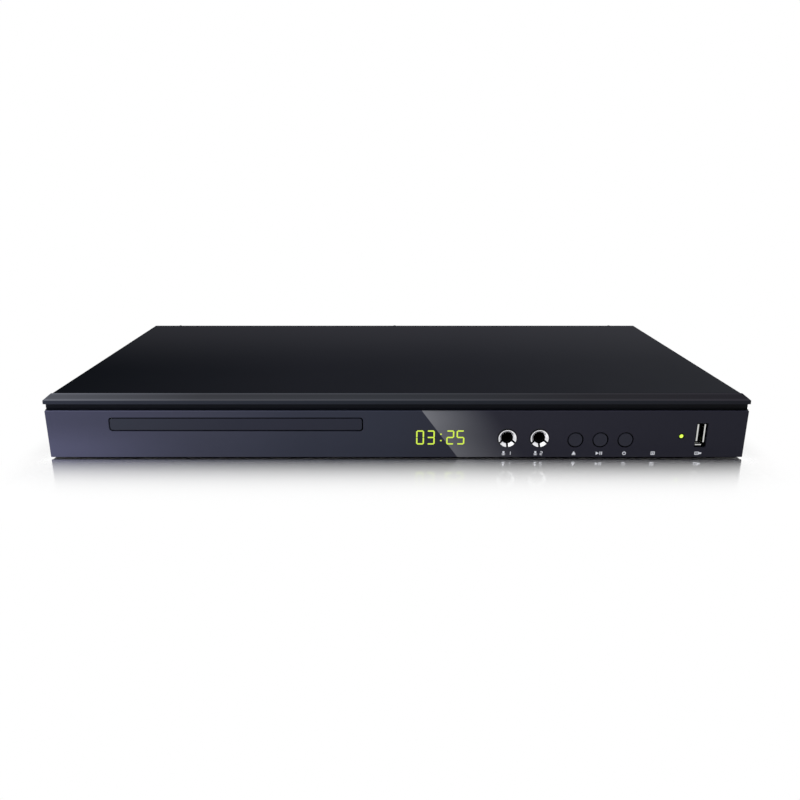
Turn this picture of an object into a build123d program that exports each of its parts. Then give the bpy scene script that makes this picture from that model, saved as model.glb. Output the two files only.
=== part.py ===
from build123d import *
import math
import os

# Flat disc player: a motor-driven disc tray, a lit clock, two microphone jacks, three
# buttons, a pilot light and a USB port on the front, and sockets on the back.
# Millimetres. X runs to the right, Y to the back and Z up. The front faces -Y.
# The feet stand on Z = 0, and X = Y = 0 is the middle of the whole outline.

# Case
unit_width = 430.0
body_depth = 221.0          # front lip to the back of the cover
foot_height = 4.0
foot_r = 10.0
foot_edge = 1.2
foot_inset = 30.0           # feet from the sides
foot_setback = (32.0, 28.0)         # feet behind the front and ahead of the back
foot_well_r = 4.0
foot_web = 2.0              # rubber left under the screw's head
panel_floor_gap = 1.5       # the front hangs this far above the floor
panel_height = 30.0
groove_height = 4.0         # shadow groove between the front and the lip
groove_depth = 3.0
lip_height = 2.5
strip_depth = 12.7          # sloping strip behind the lip
strip_rise = 1.0
strip_tail = 1.8            # thickness of the strip at its rear edge
lens_setback = 0.5
lens_thickness = 1.5
lens_bevel = 0.25
plate_thickness = 2.5       # moulded front behind the lens
moulding_wall = 2.0
ledge_reach = 7.3           # rear ledge of the front moulding, under the cover
front_rib = 6.0             # ribs between the front's plate and its bottom flange
rib_thickness = 1.2
front_rib_x = (-200.0, -160.0, -130.0, -100.0, -70.0, -40.0, 54.6, 102.2, 155.0, 206.0)
cover_sheet = 0.8
chassis_sheet = 1.0
cover_hem_gap = 0.2         # cover's lower edge above the underside of the chassis
cover_flange = 5.0          # fold of the cover over the rear panel
cover_edge = 1.0            # bevel of the cover's long edges
vent_width = 2.6
vent_pitch = 8.0
side_vent_length = 13.0
side_vent_banks = (72.0, 138.0)     # first slot of each bank, behind the front
side_vent_count = 5
rear_vent_length = 16.0
rear_vent_banks = ((-180.0, 5), (-90.0, 5), (118.0, 4))     # first slot's X, and how many
seam = 0.2                  # gap between outer pieces that butt
slip = 0.3                  # clearance of loose fits

# Front features, by the centre of each on the front, in X and Z
tray_slot_x = -98.6
tray_slot_z = 22.45
tray_slot_width = 155.6
tray_slot_height = 8.4
tray_slot_corner = 2.0
door_gap = 0.5
door_thickness = 2.5
display_x = 26.9
display_z = 13.9
display_window_width = 40.0
display_window_height = 14.0
digit_width = 5.1
digit_height = 9.6
digit_pitch = 6.25
colon_space = 5.9           # extra room between the second and third digit
segment_width = 1.0
segment_depth = 0.2
segment_gap = 0.15
mic_x = (68.2, 88.0)
mic_z = 13.6
mic_bore_r = 3.25
mic_bore_depth = 30.0
mic_nose_r = 4.6
mic_nut_r = 5.55
mic_nut_mouth_r = 3.75
mic_nut_height = 1.8
mic_nut_slot = 1.0
mic_nut_slots = 6
mic_body_half = 6.0         # half the height of the jack's body
mic_nose_short = 0.85       # threaded nose ends this far ahead of the smoked front
button_x = (110.4, 125.8, 141.3)
button_z = 12.3
button_hole_r = 5.0
button_cap_r = 4.45
button_flange_r = 6.2
button_stem_r = 1.6
button_travel = 0.6
switch_half = 3.0
switch_depth = 2.6
plunger_length = 0.8
plunger_r = 1.4
key_board_setback = 6.5     # key board behind the moulded front
led_x = 175.3
led_z = 15.0
led_r = 1.5
led_hole_r = 1.6
usb_x = 187.75
usb_z = 15.3
usb_cutout_width = 7.6
usb_cutout_height = 15.2
usb_shell_width = 5.7
usb_shell_height = 13.1
usb_shell_wall = 0.4
usb_shell_depth = 14.0
usb_tongue_thickness = 1.9
usb_tongue_height = 11.0

# Rear sockets, seen from the front: X of each, and Z
barrel_length = 8.3         # phono barrels, measured from the rear panel
barrel_r = 4.15
barrel_bore_r = 3.3
phono_pitch = 14.0          # between columns
phono_rise = 12.8           # between the two rows
phono_x = 20.0              # first column
phono_columns = 3
phono_low_z = 15.2
phono_collar_r = 5.6
coax_x = 68.0
hdmi_x = 92.0
hdmi_width = 15.0
hdmi_height = 5.6
hdmi_depth = 11.0
hdmi_wall = 0.5
inlet_x = 178.0
inlet_z = 20.0
inlet_width = 16.2          # figure-of-eight recess
inlet_height = 8.6
inlet_depth = 13.0
inlet_wall = 1.4
inlet_flange = 1.6
inlet_pin_r = 1.2
inlet_pin_pitch = 8.6
inlet_pin_setback = 2.5
inlet_waist = 0.9           # each side of the recess is this much narrower at its middle

# Disc tray
disc_setback = 68.0         # centre of the disc behind the front
tray_width = 132.0
tray_length = 165.0
tray_rim_top = 26.1
disc_well_r = 60.6
disc_ledge_z = 23.6
small_well_r = 41.0
small_ledge_z = 22.8
tray_plate_z = 21.5         # underside of the tray's plate
tray_bottom = 18.9          # underside of its rack and runners
tray_slot_front_r = 21.0    # opening for the turntable
tray_slot_rear_width = 28.0
tray_slot_rear_reach = 70.0
tray_travel = 135.0

# Gears
gear_module = 1.0
tray_gear_teeth = 20
pinion_teeth = 14
pressure_angle = 20.0
backlash = 0.12
rack_offset = 50.0          # pitch line of the rack, right of the tray's middle
gear_setback = 22.0         # axis of the tray gear behind the front
upper_gear_z = (19.0, 21.2)
lower_gear_z = (12.4, 15.6)
pinion_z = (12.6, 15.4)
pulley_z = (16.0, 18.4)
pulley_r = 12.0
motor_pulley_r = 3.0
belt_size = 1.2
belt_gap = 0.1
motor_offset = -14.0        # loading motor's axis, right of the tray's middle
motor_r = 12.2
motor_shaft_r = 0.8
post_r = 1.5
bore_gap = 0.1

# Lifting frame with the turntable and the pickup
pivot_reach = 104.0         # hinge axis behind the disc's centre
pivot_z = 15.0
pivot_r = 2.0
tilt_angle = 3.6            # how far the frame drops at rest
traverse_width = 84.0
traverse_front = 26.0       # front edge ahead of the disc's centre
traverse_top = 20.0
traverse_plate = 2.2
traverse_rib = 4.3
cam_travel = 20.0
cam_pin_r = 1.3
cam_pin_z = 17.2
cam_pin_offset = 22.0
cam_pin_reach = 3.4
cam_thickness = 3.0
cam_flange_depth = 3.6
cam_bottom = 6.6
cam_top = 20.2
turntable_r = 14.5
turntable_top = 25.4
turntable_plate = 1.8
cone_r = 7.35
cone_height = 1.7
spindle_r = 1.0
spindle_motor_r = 12.5
sled_home = 23.0            # lens radius at rest
sled_travel = 35.0
sled_length = 16.0
sled_width = 50.0
sled_z = (13.6, 20.6)
guide_rod_r = 1.5
guide_rod_offset = 22.0
guide_rod_z = 16.2
screw_offset = 33.0
screw_r = 1.5
screw_lead = 3.0
sled_motor_r = 5.0
sled_motor_length = 14.0
lens_r = 3.0
lens_top = 23.9
puck_bottom = 26.6
puck_r = 9.4
puck_flange_r = 13.0
bridge_z = 28.5
bridge_sheet = 1.5
bridge_width = 34.0
loader_width = 150.0
loader_wall = 2.0
loader_base = 7.0
loader_deck_top = 12.0
deck_thickness = 2.0

# Sides of round shapes: what shows most gets the most
well_sides = 36
fine = 20
middling = 16
coarse = 12
few = 8

# Boards
board_thickness = 1.6
standoff_height = 5.0
standoff_r = 3.0

# Places worked out from the sizes above
half_width = unit_width / 2
nut_proud = mic_nut_height - lens_setback
barrel_proud = barrel_length - cover_sheet
front_y = nut_proud - (nut_proud + body_depth + barrel_proud) / 2
rear_y = front_y + body_depth
lens_y = front_y + lens_setback
plate_y = lens_y + lens_thickness
plate_back = plate_y + plate_thickness
groove_y = lens_y + groove_depth
strip_back = front_y + strip_depth
cover_front = strip_back + seam
ledge_back = cover_front + ledge_reach
rear_panel_out = rear_y - cover_sheet
rear_panel_in = rear_panel_out - chassis_sheet
panel_low = panel_floor_gap
panel_high = panel_low + panel_height
lip_low = panel_high + groove_height
lip_high = lip_low + lip_height
roof = lip_high + strip_rise
roof_under = roof - cover_sheet
strip_under = roof - strip_tail
pan_low = foot_height
pan_top = pan_low + chassis_sheet
cover_inner = half_width - cover_sheet
flange_outer = cover_inner - slip
disc_y = lens_y + disc_setback
tray_front = lens_y + door_thickness
tray_back = tray_front + tray_length
pivot_y = disc_y + pivot_reach
board_low = pan_top + standoff_height
board_top = board_low + board_thickness
tilt = math.radians(tilt_angle)
spindle_motor_drop = (pivot_reach + spindle_motor_r) * math.sin(tilt)
spindle_motor_low = pivot_z + (pan_top + slip - pivot_z + spindle_motor_drop) / math.cos(tilt)


def block(x0, x1, y0, y1, z0, z1):
    middle = Pos((x0 + x1) / 2, (y0 + y1) / 2, (z0 + z1) / 2)
    return middle * Box(x1 - x0, y1 - y0, z1 - z0)


def along_x(sketch, x0, x1):
    # the sketch holds Y and Z
    return extrude(Plane.YZ.offset(x0) * sketch, x1 - x0)


def along_y(sketch, y0, y1):
    # the sketch holds X and Z
    return extrude(Plane.XZ.offset(-y1) * sketch, y1 - y0)


def along_z(sketch, z0, z1):
    # the sketch holds X and Y
    return extrude(Plane.XY.offset(z0) * sketch, z1 - z0)


def outline(*points):
    return make_face(Polyline(*points, close=True))


def rod_face(radius, sides):
    # many-sided disc whose corners lie on the circle, so that a rod never outgrows its size
    return RegularPolygon(radius, sides)


def hole_face(radius, sides):
    # many-sided disc whose flats touch the circle, so that a hole never shrinks
    return RegularPolygon(radius, sides, major_radius=False)


def rod_x(y, z, radius, x0, x1, sides=coarse):
    return along_x(Pos(y, z) * rod_face(radius, sides), x0, x1)


def rod_y(x, z, radius, y0, y1, sides=coarse):
    return along_y(Pos(x, z) * rod_face(radius, sides), y0, y1)


def rod_z(x, y, radius, z0, z1, sides=coarse):
    return along_z(Pos(x, y) * rod_face(radius, sides), z0, z1)


def hole_x(y, z, radius, x0, x1, sides=coarse):
    return along_x(Pos(y, z) * hole_face(radius, sides), x0, x1)


def hole_y(x, z, radius, y0, y1, sides=coarse):
    return along_y(Pos(x, z) * hole_face(radius, sides), y0, y1)


def hole_z(x, y, radius, z0, z1, sides=coarse):
    return along_z(Pos(x, y) * hole_face(radius, sides), z0, z1)


def round_z(x, y, radius, z0, z1):
    # true cylinder, for faces that something turns on
    return along_z(Pos(x, y) * Circle(radius), z0, z1)


def round_y(x, z, radius, y0, y1):
    return along_y(Pos(x, z) * Circle(radius), y0, y1)


def round_x(y, z, radius, x0, x1):
    return along_x(Pos(y, z) * Circle(radius), x0, x1)


def tapered(low_r, high_r, low, high, sides):
    # many-sided cone about the Z axis
    inward = (low_r - high_r) * math.cos(math.pi / sides)
    slope = math.degrees(math.atan2(inward, high - low))
    return extrude(Plane.XY.offset(low) * rod_face(low_r, sides), high - low, taper=slope)


def turned(levels, sides):
    # stack of discs about the Z axis, each given by its radius, underside and top
    stack = [along_z(rod_face(radius, sides), low, high) for radius, low, high in levels]
    return Part() + stack


def vent(length, width):
    # slot along the sketch's second axis with clipped ends
    clip = width * 0.3
    half_wide, half_long = width / 2, length / 2
    return outline(
        (half_wide, clip - half_long), (half_wide, half_long - clip), (half_wide - clip, half_long),
        (clip - half_wide, half_long), (-half_wide, half_long - clip), (-half_wide, clip - half_long),
        (clip - half_wide, -half_long), (half_wide - clip, -half_long))


def pointed(length, width):
    # narrow slot along the sketch's second axis with pointed ends
    half_wide, half_long = width / 2, length / 2
    shoulder = half_long - half_wide
    return outline((half_wide, -shoulder), (half_wide, shoulder), (0, half_long), (-half_wide, shoulder),
                   (-half_wide, -shoulder), (0, -half_long))


def lowered(shape):
    # the lifting frame is drawn level, then dropped about its hinge to its rest position
    return shape.rotate(Axis((0, pivot_y, pivot_z), (1, 0, 0)), tilt_angle)


def front_openings(tray, sides):
    # everything that looks out through the front, as one flat pattern in X and Z
    usb = Rectangle(usb_cutout_width, usb_cutout_height)
    pattern = [Pos(tray_slot_x, tray_slot_z) * tray, Pos(usb_x, usb_z) * usb]
    pattern += [Pos(x, mic_z) * hole_face(mic_nose_r + slip, sides) for x in mic_x]
    pattern += [Pos(x, button_z) * hole_face(button_hole_r, sides) for x in button_x]
    pattern.append(Pos(led_x, led_z) * hole_face(led_hole_r, coarse))
    return pattern


def make_front_lens():
    face = Pos(0, (panel_low + panel_high) / 2) * Rectangle(unit_width, panel_height)
    lens = along_y(face, lens_y, plate_y)
    lens = chamfer(lens.faces().sort_by(Axis.Y)[0].edges(), lens_bevel)
    tray = RectangleRounded(tray_slot_width, tray_slot_height, tray_slot_corner)
    for hole in front_openings(tray, fine):
        lens -= along_y(hole, lens_y, plate_y)
    return [lens]


def make_front_panel():
    # one moulding: plate, bottom flange, recessed neck, roof under the strip and rear ledge
    wall = moulding_wall
    neck_back = groove_y + wall
    neck_top_y = neck_back + 1.0
    shelf = outline(
        (plate_y, panel_low), (plate_y, panel_high), (groove_y, panel_high),
        (groove_y, lip_low), (neck_top_y, lip_low), (neck_top_y, strip_under),
        (strip_back, strip_under), (strip_back, strip_under - wall),
        (neck_top_y + wall, strip_under - wall), (neck_top_y + wall, lip_low - wall),
        (neck_back, lip_low - wall), (neck_back, panel_high - wall),
        (plate_back, panel_high - wall), (plate_back, pan_low),
        (strip_back, pan_low), (strip_back, panel_low))
    panel = along_x(shelf, -half_width, half_width)
    cheek = outline(
        (plate_y, panel_low), (plate_y, panel_high), (groove_y, panel_high),
        (groove_y, lip_low), (neck_top_y, lip_low), (neck_top_y, strip_under),
        (strip_back, strip_under), (strip_back, panel_low))
    panel += along_x(cheek, -half_width, wall - half_width)
    panel += along_x(cheek, half_width - wall, half_width)
    ledge = outline(
        (strip_back - wall, strip_under - wall), (strip_back - wall, strip_under),
        (cover_front, strip_under), (cover_front, roof_under), (ledge_back, roof_under),
        (ledge_back, roof_under - wall), (cover_front + wall, roof_under - wall),
        (cover_front + wall, strip_under - wall))
    ledge_half = cover_inner - slip
    panel += along_x(ledge, -ledge_half, ledge_half)
    tray = Rectangle(tray_slot_width, tray_slot_height)
    for hole in front_openings(tray, middling):
        panel -= along_y(hole, plate_y, plate_back)
    window = Pos(display_x, display_z) * Rectangle(display_window_width, display_window_height)
    panel -= along_y(window, plate_y, plate_back)
    # stiffening ribs between the bottom flange and the plate
    for x in front_rib_x:
        rib_top = pan_low + front_rib
        rib = outline((plate_back, pan_low), (plate_back, rib_top), (plate_back + front_rib, pan_low))
        panel += along_x(rib, x - rib_thickness / 2, x + rib_thickness / 2)
    return [panel]


def make_top_trim():
    # lip with a shallow sloping strip behind it
    nose_back = groove_y + moulding_wall + 1.0
    section = outline(
        (front_y, lip_low), (front_y, lip_high - 0.3), (front_y + 0.3, lip_high),
        (strip_back - 0.5, roof), (strip_back, roof - 0.25), (strip_back, strip_under),
        (nose_back, strip_under), (nose_back, lip_low))
    return [along_x(section, -half_width, half_width)]


def vent_slots(start, count, length):
    # upright slots in a row, as a flat pattern
    middle = (pan_top + roof_under) / 2
    slot = pointed(length, vent_width)
    return [Pos(start + number * vent_pitch, middle) * slot for number in range(count)]


def make_top_cover():
    # folded sheet: top, two sides and a short rear flange over the rear panel
    low = pan_low + cover_hem_gap
    outer = block(-half_width, half_width, cover_front, rear_y, low, roof)
    outer = chamfer(outer.edges().filter_by(Axis.Y).sort_by(Axis.Z)[2:], cover_edge)
    inner = block(-cover_inner, cover_inner, cover_front, rear_panel_out, low, roof_under)
    rear_cut = block(-cover_inner, cover_inner, rear_panel_out, rear_y, low, roof - cover_flange)
    cover = outer - inner - rear_cut
    for setback in side_vent_banks:
        for slot in vent_slots(front_y + setback, side_vent_count, side_vent_length):
            cover -= along_x(slot, -half_width, -cover_inner)
            cover -= along_x(slot, cover_inner, half_width)
    return [cover]


def make_chassis_pan():
    # pressed sheet with side flanges, a front tongue, two stiffening beads and foot recesses
    floor = block(-flange_outer, flange_outer, cover_front, rear_panel_out, pan_low, pan_top)
    tongue = half_width - 18.0
    floor += block(-tongue, tongue, plate_back + front_rib + slip, cover_front, pan_low, pan_top)
    for side in (-1, 1):
        flange = sorted((side * flange_outer, side * (flange_outer - chassis_sheet)))
        floor += block(*flange, cover_front + 2.0, rear_panel_in, pan_top, pan_top + 8.0)
    bead = Rot(0, 0, 90) * vent(110.0, 9.0)
    for x in (-85.0, 50.0):
        floor += along_z(Pos(x, pivot_y + 26.0) * bead, pan_top, pan_top + 1.2)
    for number in range(6):
        slot = Pos(136.0 + 12.0 * number, 0.0) * pointed(30.0, 3.0)
        floor -= along_z(slot, pan_low, pan_top)
    for x, y in board_posts():
        floor += rod_z(x, y, standoff_r, pan_top, board_low, 6)
    for x, y in loader_feet():
        floor += rod_z(x, y, standoff_r + 1.0, pan_top, loader_base, 6)
    for x in mic_x:
        floor += rod_z(x, plate_back + 24.0, standoff_r, pan_top, mic_board_low(), 6)
    return [floor]


def make_rear_panel():
    # sheet with a hole for each socket and two banks of vents
    face = Pos(0, (pan_top + roof_under) / 2) * Rectangle(2 * flange_outer, roof_under - pan_top)
    panel = along_y(face, rear_panel_in, rear_panel_out)
    for x, z in phono_places():
        panel -= hole_y(x, z, barrel_bore_r + slip, rear_panel_in, rear_panel_out, few)
    hdmi = Pos(hdmi_x, hdmi_middle_z()) * Rectangle(hdmi_width + 0.6, hdmi_height + 0.6)
    inlet = Pos(inlet_x, inlet_z) * Rectangle(inlet_width + 4.0, inlet_height + 4.4)
    panel -= along_y(hdmi, rear_panel_in, rear_panel_out)
    panel -= along_y(inlet, rear_panel_in, rear_panel_out)
    for start, count in rear_vent_banks:
        for slot in vent_slots(start, count, rear_vent_length):
            panel -= along_y(slot, rear_panel_in, rear_panel_out)
    return [panel]


def foot_places():
    side = half_width - foot_inset
    rows = (front_y + foot_setback[0], rear_y - foot_setback[1])
    return [(x, y) for y in rows for x in (-side, side)]


def make_foot(x, y):
    # short rubber foot with a bevelled ring that stands on the floor, and a screw well
    foot = rod_z(0, 0, foot_r, 0, foot_height, middling)
    foot = chamfer(foot.faces().sort_by(Axis.Z)[0].edges(), foot_edge)
    foot -= hole_z(0, 0, foot_well_r, 0, foot_height - foot_web, few)
    return [Pos(x, y, 0) * foot]


def mic_board_low():
    return mic_z - mic_body_half - board_thickness


def make_mic_nut(x):
    # slotted ring nut with a wide countersink
    mouth = mic_nut_mouth_r
    rim = mic_nut_r
    tall = mic_nut_height
    nut = rod_z(0, 0, rim, 0, tall, fine)
    nut -= hole_z(0, 0, mic_nose_r + bore_gap, 0, 0.9)
    nut -= rod_z(0, 0, mouth, 0.9, tall, fine)
    nut = chamfer(nut.faces().sort_by(Axis.Z)[-1].edges().group_by(SortBy.LENGTH)[0], 0.7)
    nut = chamfer(nut.faces().sort_by(Axis.Z)[-1].edges().group_by(SortBy.LENGTH)[-1], 0.3)
    for number in range(mic_nut_slots):
        slot = block(mouth - 1, rim + 1, -mic_nut_slot / 2, mic_nut_slot / 2, tall - 0.8, tall + 1)
        nut -= slot.rotate(Axis.Z, 30.0 + 360.0 * number / mic_nut_slots)
    return [Pos(x, lens_y, mic_z) * nut.rotate(Axis.X, 90)]


def make_mic_jack(x):
    # threaded nose through the front, square body behind it, and the plug's bore
    nose_front = lens_y - mic_nose_short
    body_back = nose_front + mic_bore_depth + 2.0
    half = mic_body_half
    jack = rod_y(x, mic_z, mic_nose_r, nose_front, plate_back + 0.5, middling)
    jack += block(x - half - 0.8, x + half + 0.8, plate_back, body_back, mic_z - half, mic_z + half)
    bore = Pos(x, mic_z) * Circle(mic_bore_r)
    return [jack - along_y(bore, nose_front, nose_front + mic_bore_depth)]


def make_mic_board():
    low = mic_board_low()
    front, back = plate_back + 2.0, plate_back + 34.0
    return [block(mic_x[0] - 12, mic_x[1] + 12, front, back, low, low + board_thickness)]


def make_button(x):
    # round cap in its hole, retaining flange behind the plate, and a stem to its key switch
    cap_back = plate_back + 0.2
    button = rod_y(x, button_z, button_cap_r, lens_y, cap_back, fine)
    button = chamfer(button.faces().sort_by(Axis.Y)[0].edges(), 0.3)
    button += rod_y(x, button_z, button_flange_r, cap_back, cap_back + 1.0)
    button += rod_y(x, button_z, button_stem_r, cap_back + 1.0, switch_face() - button_travel - 0.1)
    return [button]


def key_board_front():
    return plate_back + key_board_setback


def switch_face():
    # front of the key switches' plungers
    return key_board_front() - switch_depth - plunger_length


def make_key_switches():
    switches = []
    for x in button_x:
        body_front = key_board_front() - switch_depth
        body = block(x - switch_half, x + switch_half, body_front, key_board_front(),
                     button_z - switch_half, button_z + switch_half)
        switches.append(body + rod_y(x, button_z, plunger_r, switch_face(), body_front, 8))
    return switches


def make_key_board():
    front = key_board_front()
    back = front + board_thickness
    half_wide = usb_shell_width / 2 + 0.2
    half_tall = usb_shell_height / 2 + 0.2
    board = block(button_x[0] - 8, usb_x + 12, front, back, panel_low + 5.0, panel_high - 3.5)
    board -= block(usb_x - half_wide, usb_x + half_wide, front, back, usb_z - half_tall, usb_z + half_tall)
    return [board]


def make_status_led():
    # round-nosed lamp on a short spacer
    tip = lens_y + 0.3
    half = led_r + 0.1
    collar_back = key_board_front() - 2.0
    lamp = rod_y(led_x, led_z, led_r, tip, collar_back)
    lamp = chamfer(lamp.faces().sort_by(Axis.Y)[0].edges(), 0.6)
    lamp += rod_y(led_x, led_z, led_r + 0.4, collar_back - 0.6, collar_back)
    lamp += block(led_x - half, led_x + half, collar_back, key_board_front(), led_z - half, led_z + half)
    return [lamp]


def make_usb_shell():
    # folded metal shell stood on edge, open at the front, with a closed back
    front = lens_y + 0.15
    back = front + usb_shell_depth
    outer = Rectangle(usb_shell_width, usb_shell_height)
    inner = Rectangle(usb_shell_width - 2 * usb_shell_wall, usb_shell_height - 2 * usb_shell_wall)
    shell = along_y(Pos(usb_x, usb_z) * outer, front, back)
    shell -= along_y(Pos(usb_x, usb_z) * inner, front, back - usb_shell_wall)
    return [shell]


def make_usb_tongue():
    # insulator block at the back of the shell with the contact tongue in front of it
    front = lens_y + 1.2
    back = lens_y + 0.15 + usb_shell_depth - usb_shell_wall
    tongue_x = usb_x + usb_shell_width / 2 - usb_shell_wall - 0.35 - usb_tongue_thickness
    half_wide = usb_shell_width / 2 - usb_shell_wall
    half_tall = usb_shell_height / 2 - usb_shell_wall
    root = back - 3.0
    tongue = block(tongue_x, tongue_x + usb_tongue_thickness, front, root,
                   usb_z - usb_tongue_height / 2, usb_z + usb_tongue_height / 2)
    tongue += block(usb_x - half_wide, usb_x + half_wide, root, back, usb_z - half_tall, usb_z + half_tall)
    return [tongue]


def digit_left(place):
    first = display_x - (4 * digit_pitch + colon_space - (digit_pitch - digit_width)) / 2
    return first + place * digit_pitch + (colon_space if place > 1 else 0)


def segment_bar(x0, z0, x1, z1):
    # six-sided bar between two corners of a digit, pointed at both ends
    length = math.hypot(x1 - x0, z1 - z0)
    half = length / 2 - segment_gap
    side = segment_width / 2
    bar = outline((-half, 0), (side - half, side), (half - side, side), (half, 0), (half - side, -side),
                  (side - half, -side))
    angle = math.degrees(math.atan2(z1 - z0, x1 - x0))
    return Pos((x0 + x1) / 2, (z0 + z1) / 2) * Rot(0, 0, angle) * bar


def digit_segments(place, lit):
    inset = segment_width / 2
    left = digit_left(place) + inset
    right = left + digit_width - 2 * inset
    low = display_z - digit_height / 2 + inset
    high = display_z + digit_height / 2 - inset
    middle = display_z
    ends = {
        "top": (left, high, right, high), "middle": (left, middle, right, middle),
        "bottom": (left, low, right, low),
        "upper_left": (left, middle, left, high), "upper_right": (right, middle, right, high),
        "lower_left": (left, low, left, middle), "lower_right": (right, low, right, middle)}
    return [segment_bar(*ends[name]) for name in lit]


def lit_segments():
    zero = ("top", "bottom", "upper_left", "upper_right", "lower_left", "lower_right")
    three = ("top", "middle", "bottom", "upper_right", "lower_right")
    two = ("top", "middle", "bottom", "upper_right", "lower_left")
    five = ("top", "middle", "bottom", "upper_left", "lower_right")
    bars = []
    for place, lit in enumerate((zero, three, two, five)):
        bars += digit_segments(place, lit)
    colon_x = (digit_left(1) + digit_width + digit_left(2)) / 2
    for z in (display_z - 2.15, display_z + 2.15):
        bars.append(Pos(colon_x, z) * Rectangle(1.1, 1.1))
    return bars


def display_face_y():
    return plate_y + segment_depth + 0.1


def make_display_segments():
    face = display_face_y()
    return [along_y(bar, face - segment_depth, face) for bar in lit_segments()]


def make_display_module():
    # dark reflector block that fills the window, with a collar behind the plate
    face = display_face_y()
    half_wide = display_window_width / 2
    half_tall = display_window_height / 2
    fit = 0.15
    module = block(display_x - half_wide + fit, display_x + half_wide - fit, face, plate_back,
                   display_z - half_tall + fit, display_z + half_tall - fit)
    module += block(display_x - half_wide - 1.5, display_x + half_wide + 1.5, plate_back, plate_back + 4.0,
                    display_z - half_tall - 1.5, display_z + half_tall + 1.5)
    return [module]


def make_display_board():
    front = plate_back + 4.0
    half_wide = display_window_width / 2 + 6.0
    return [block(display_x - half_wide, display_x + half_wide, front, front + board_thickness,
                  pan_top + 0.5, panel_high - 3.5)]


def board_box(name):
    # corners of each flat board in X and Y
    boxes = {
        "main": (-14.0, 112.0, rear_panel_in - 86.0, rear_panel_in - 1.0),
        "power": (124.0, 205.0, rear_panel_in - 92.0, rear_panel_in - 14.5)}
    return boxes[name]


def board_posts():
    places = []
    for name in ("main", "power"):
        x0, x1, y0, y1 = board_box(name)
        places += [(x, y) for x in (x0 + 6, x1 - 6) for y in (y0 + 6, y1 - 6)]
    return places


def make_board(name):
    x0, x1, y0, y1 = board_box(name)
    board = block(x0, x1, y0, y1, board_low, board_top)
    for x in (x0 + 6, x1 - 6):
        for y in (y0 + 6, y1 - 6):
            board -= hole_z(x, y, 1.7, board_low, board_top, few)
    return [board]


def make_board_chips():
    # packages on the main board, by middle, width, depth and height
    x0, x1, y0, y1 = board_box("main")
    packages = ((50.0, 32.0, 22.0, 22.0, 1.6), (82.0, 34.0, 18.0, 10.2, 1.1), (24.0, 24.0, 6.0, 12.4, 1.8),
                (24.0, 46.0, 6.0, 8.0, 1.5), (104.0, 16.0, 10.0, 6.6, 2.3), (60.0, 60.0, 5.2, 5.2, 1.5))
    chips = []
    for x, y, width, deep, tall in packages:
        chips.append(block(x0 + x - width / 2, x0 + x + width / 2, y0 + y - deep / 2, y0 + y + deep / 2,
                           board_top, board_top + tall))
    return chips


def make_board_capacitors():
    # upright cans, by middle, radius and height on each board
    on_main = ((112.0, 38.0, 4.0, 11.5), (112.0, 50.0, 3.2, 9.0), (14.0, 60.0, 3.2, 9.0),
               (42.0, 52.0, 2.5, 7.0), (94.0, 56.0, 2.5, 7.0))
    on_power = ((58.0, 50.0, 8.0, 22.0), (16.0, 14.0, 5.0, 18.0), (16.0, 27.0, 5.0, 18.0))
    capacitors = []
    for name, cans, sides in (("main", on_main, 8), ("power", on_power, coarse)):
        x0, x1, y0, y1 = board_box(name)
        for x, y, radius, tall in cans:
            capacitors.append(rod_z(x0 + x, y0 + y, radius, board_top, board_top + tall, sides))
    return capacitors


def make_power_transformer():
    # ferrite core in two E halves round a wound bobbin
    x0, x1, y0, y1 = board_box("power")
    x, y = x0 + 34.0, y0 + 44.0
    wide, deep, tall = 26.0, 20.0, 19.0
    core = block(x - wide / 2, x + wide / 2, y - 5.5, y + 5.5, board_top + 2.0, board_top + tall)
    winding = block(x - wide / 2 + 4.0, x + wide / 2 - 4.0, y - deep / 2, y + deep / 2,
                    board_top + 4.5, board_top + tall - 3.5)
    winding = chamfer(winding.edges().filter_by(Axis.Z), 3.0)
    base = block(x - wide / 2, x + wide / 2, y - deep / 2, y + deep / 2, board_top, board_top + 2.0)
    return [core + winding + base]


def make_power_heatsink():
    # bent plate with upright fins
    x0, x1, y0, y1 = board_box("power")
    x = x0 + 10.0
    y = y0 + 58.0
    sink = block(x - 1.0, x + 1.0, y - 15.0, y + 15.0, board_top, board_top + 20.0)
    for number in range(5):
        fin = y - 14.0 + 7.0 * number
        sink += block(x + 1.0, x + 7.0, fin - 0.6, fin + 0.6, board_top + 3.0, board_top + 20.0)
    return [sink]


def phono_places():
    columns = [phono_x + phono_pitch * number for number in range(phono_columns)]
    places = [(x, z) for x in columns for z in (phono_low_z, phono_low_z + phono_rise)]
    return places + [(coax_x, phono_low_z)]


def make_phono_block():
    # moulded housings that stand on the main board behind the rear panel
    half = phono_pitch / 2
    left = phono_x - half
    right = phono_x + phono_pitch * (phono_columns - 1) + half
    front = rear_panel_in - 14.0
    low_top = phono_low_z + 5.5
    housing = block(left, right, front, rear_panel_in, board_top, low_top + phono_rise)
    single = block(coax_x - 5.5, coax_x + 5.5, front, rear_panel_in, board_top, low_top)
    return [housing, single]


def make_phono_barrels():
    barrels = []
    front = rear_panel_out + 0.8
    for x, z in phono_places():
        barrel = rod_y(x, z, barrel_r, front, rear_panel_out + barrel_length)
        barrels.append(barrel - hole_y(x, z, barrel_bore_r, front, rear_panel_out + barrel_length, 8))
    return barrels


def make_phono_inserts():
    # coloured insulators: a collar on the rear panel and a core with the centre contact's hole
    inserts = []
    for x, z in phono_places():
        end = rear_panel_out + barrel_length - 0.8
        insert = rod_y(x, z, phono_collar_r, rear_panel_out, rear_panel_out + 0.8, few)
        insert += rod_y(x, z, barrel_bore_r, rear_panel_in, end, 6)
        inserts.append(insert - hole_y(x, z, 1.6, rear_panel_out, end, 6))
    return inserts


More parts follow.
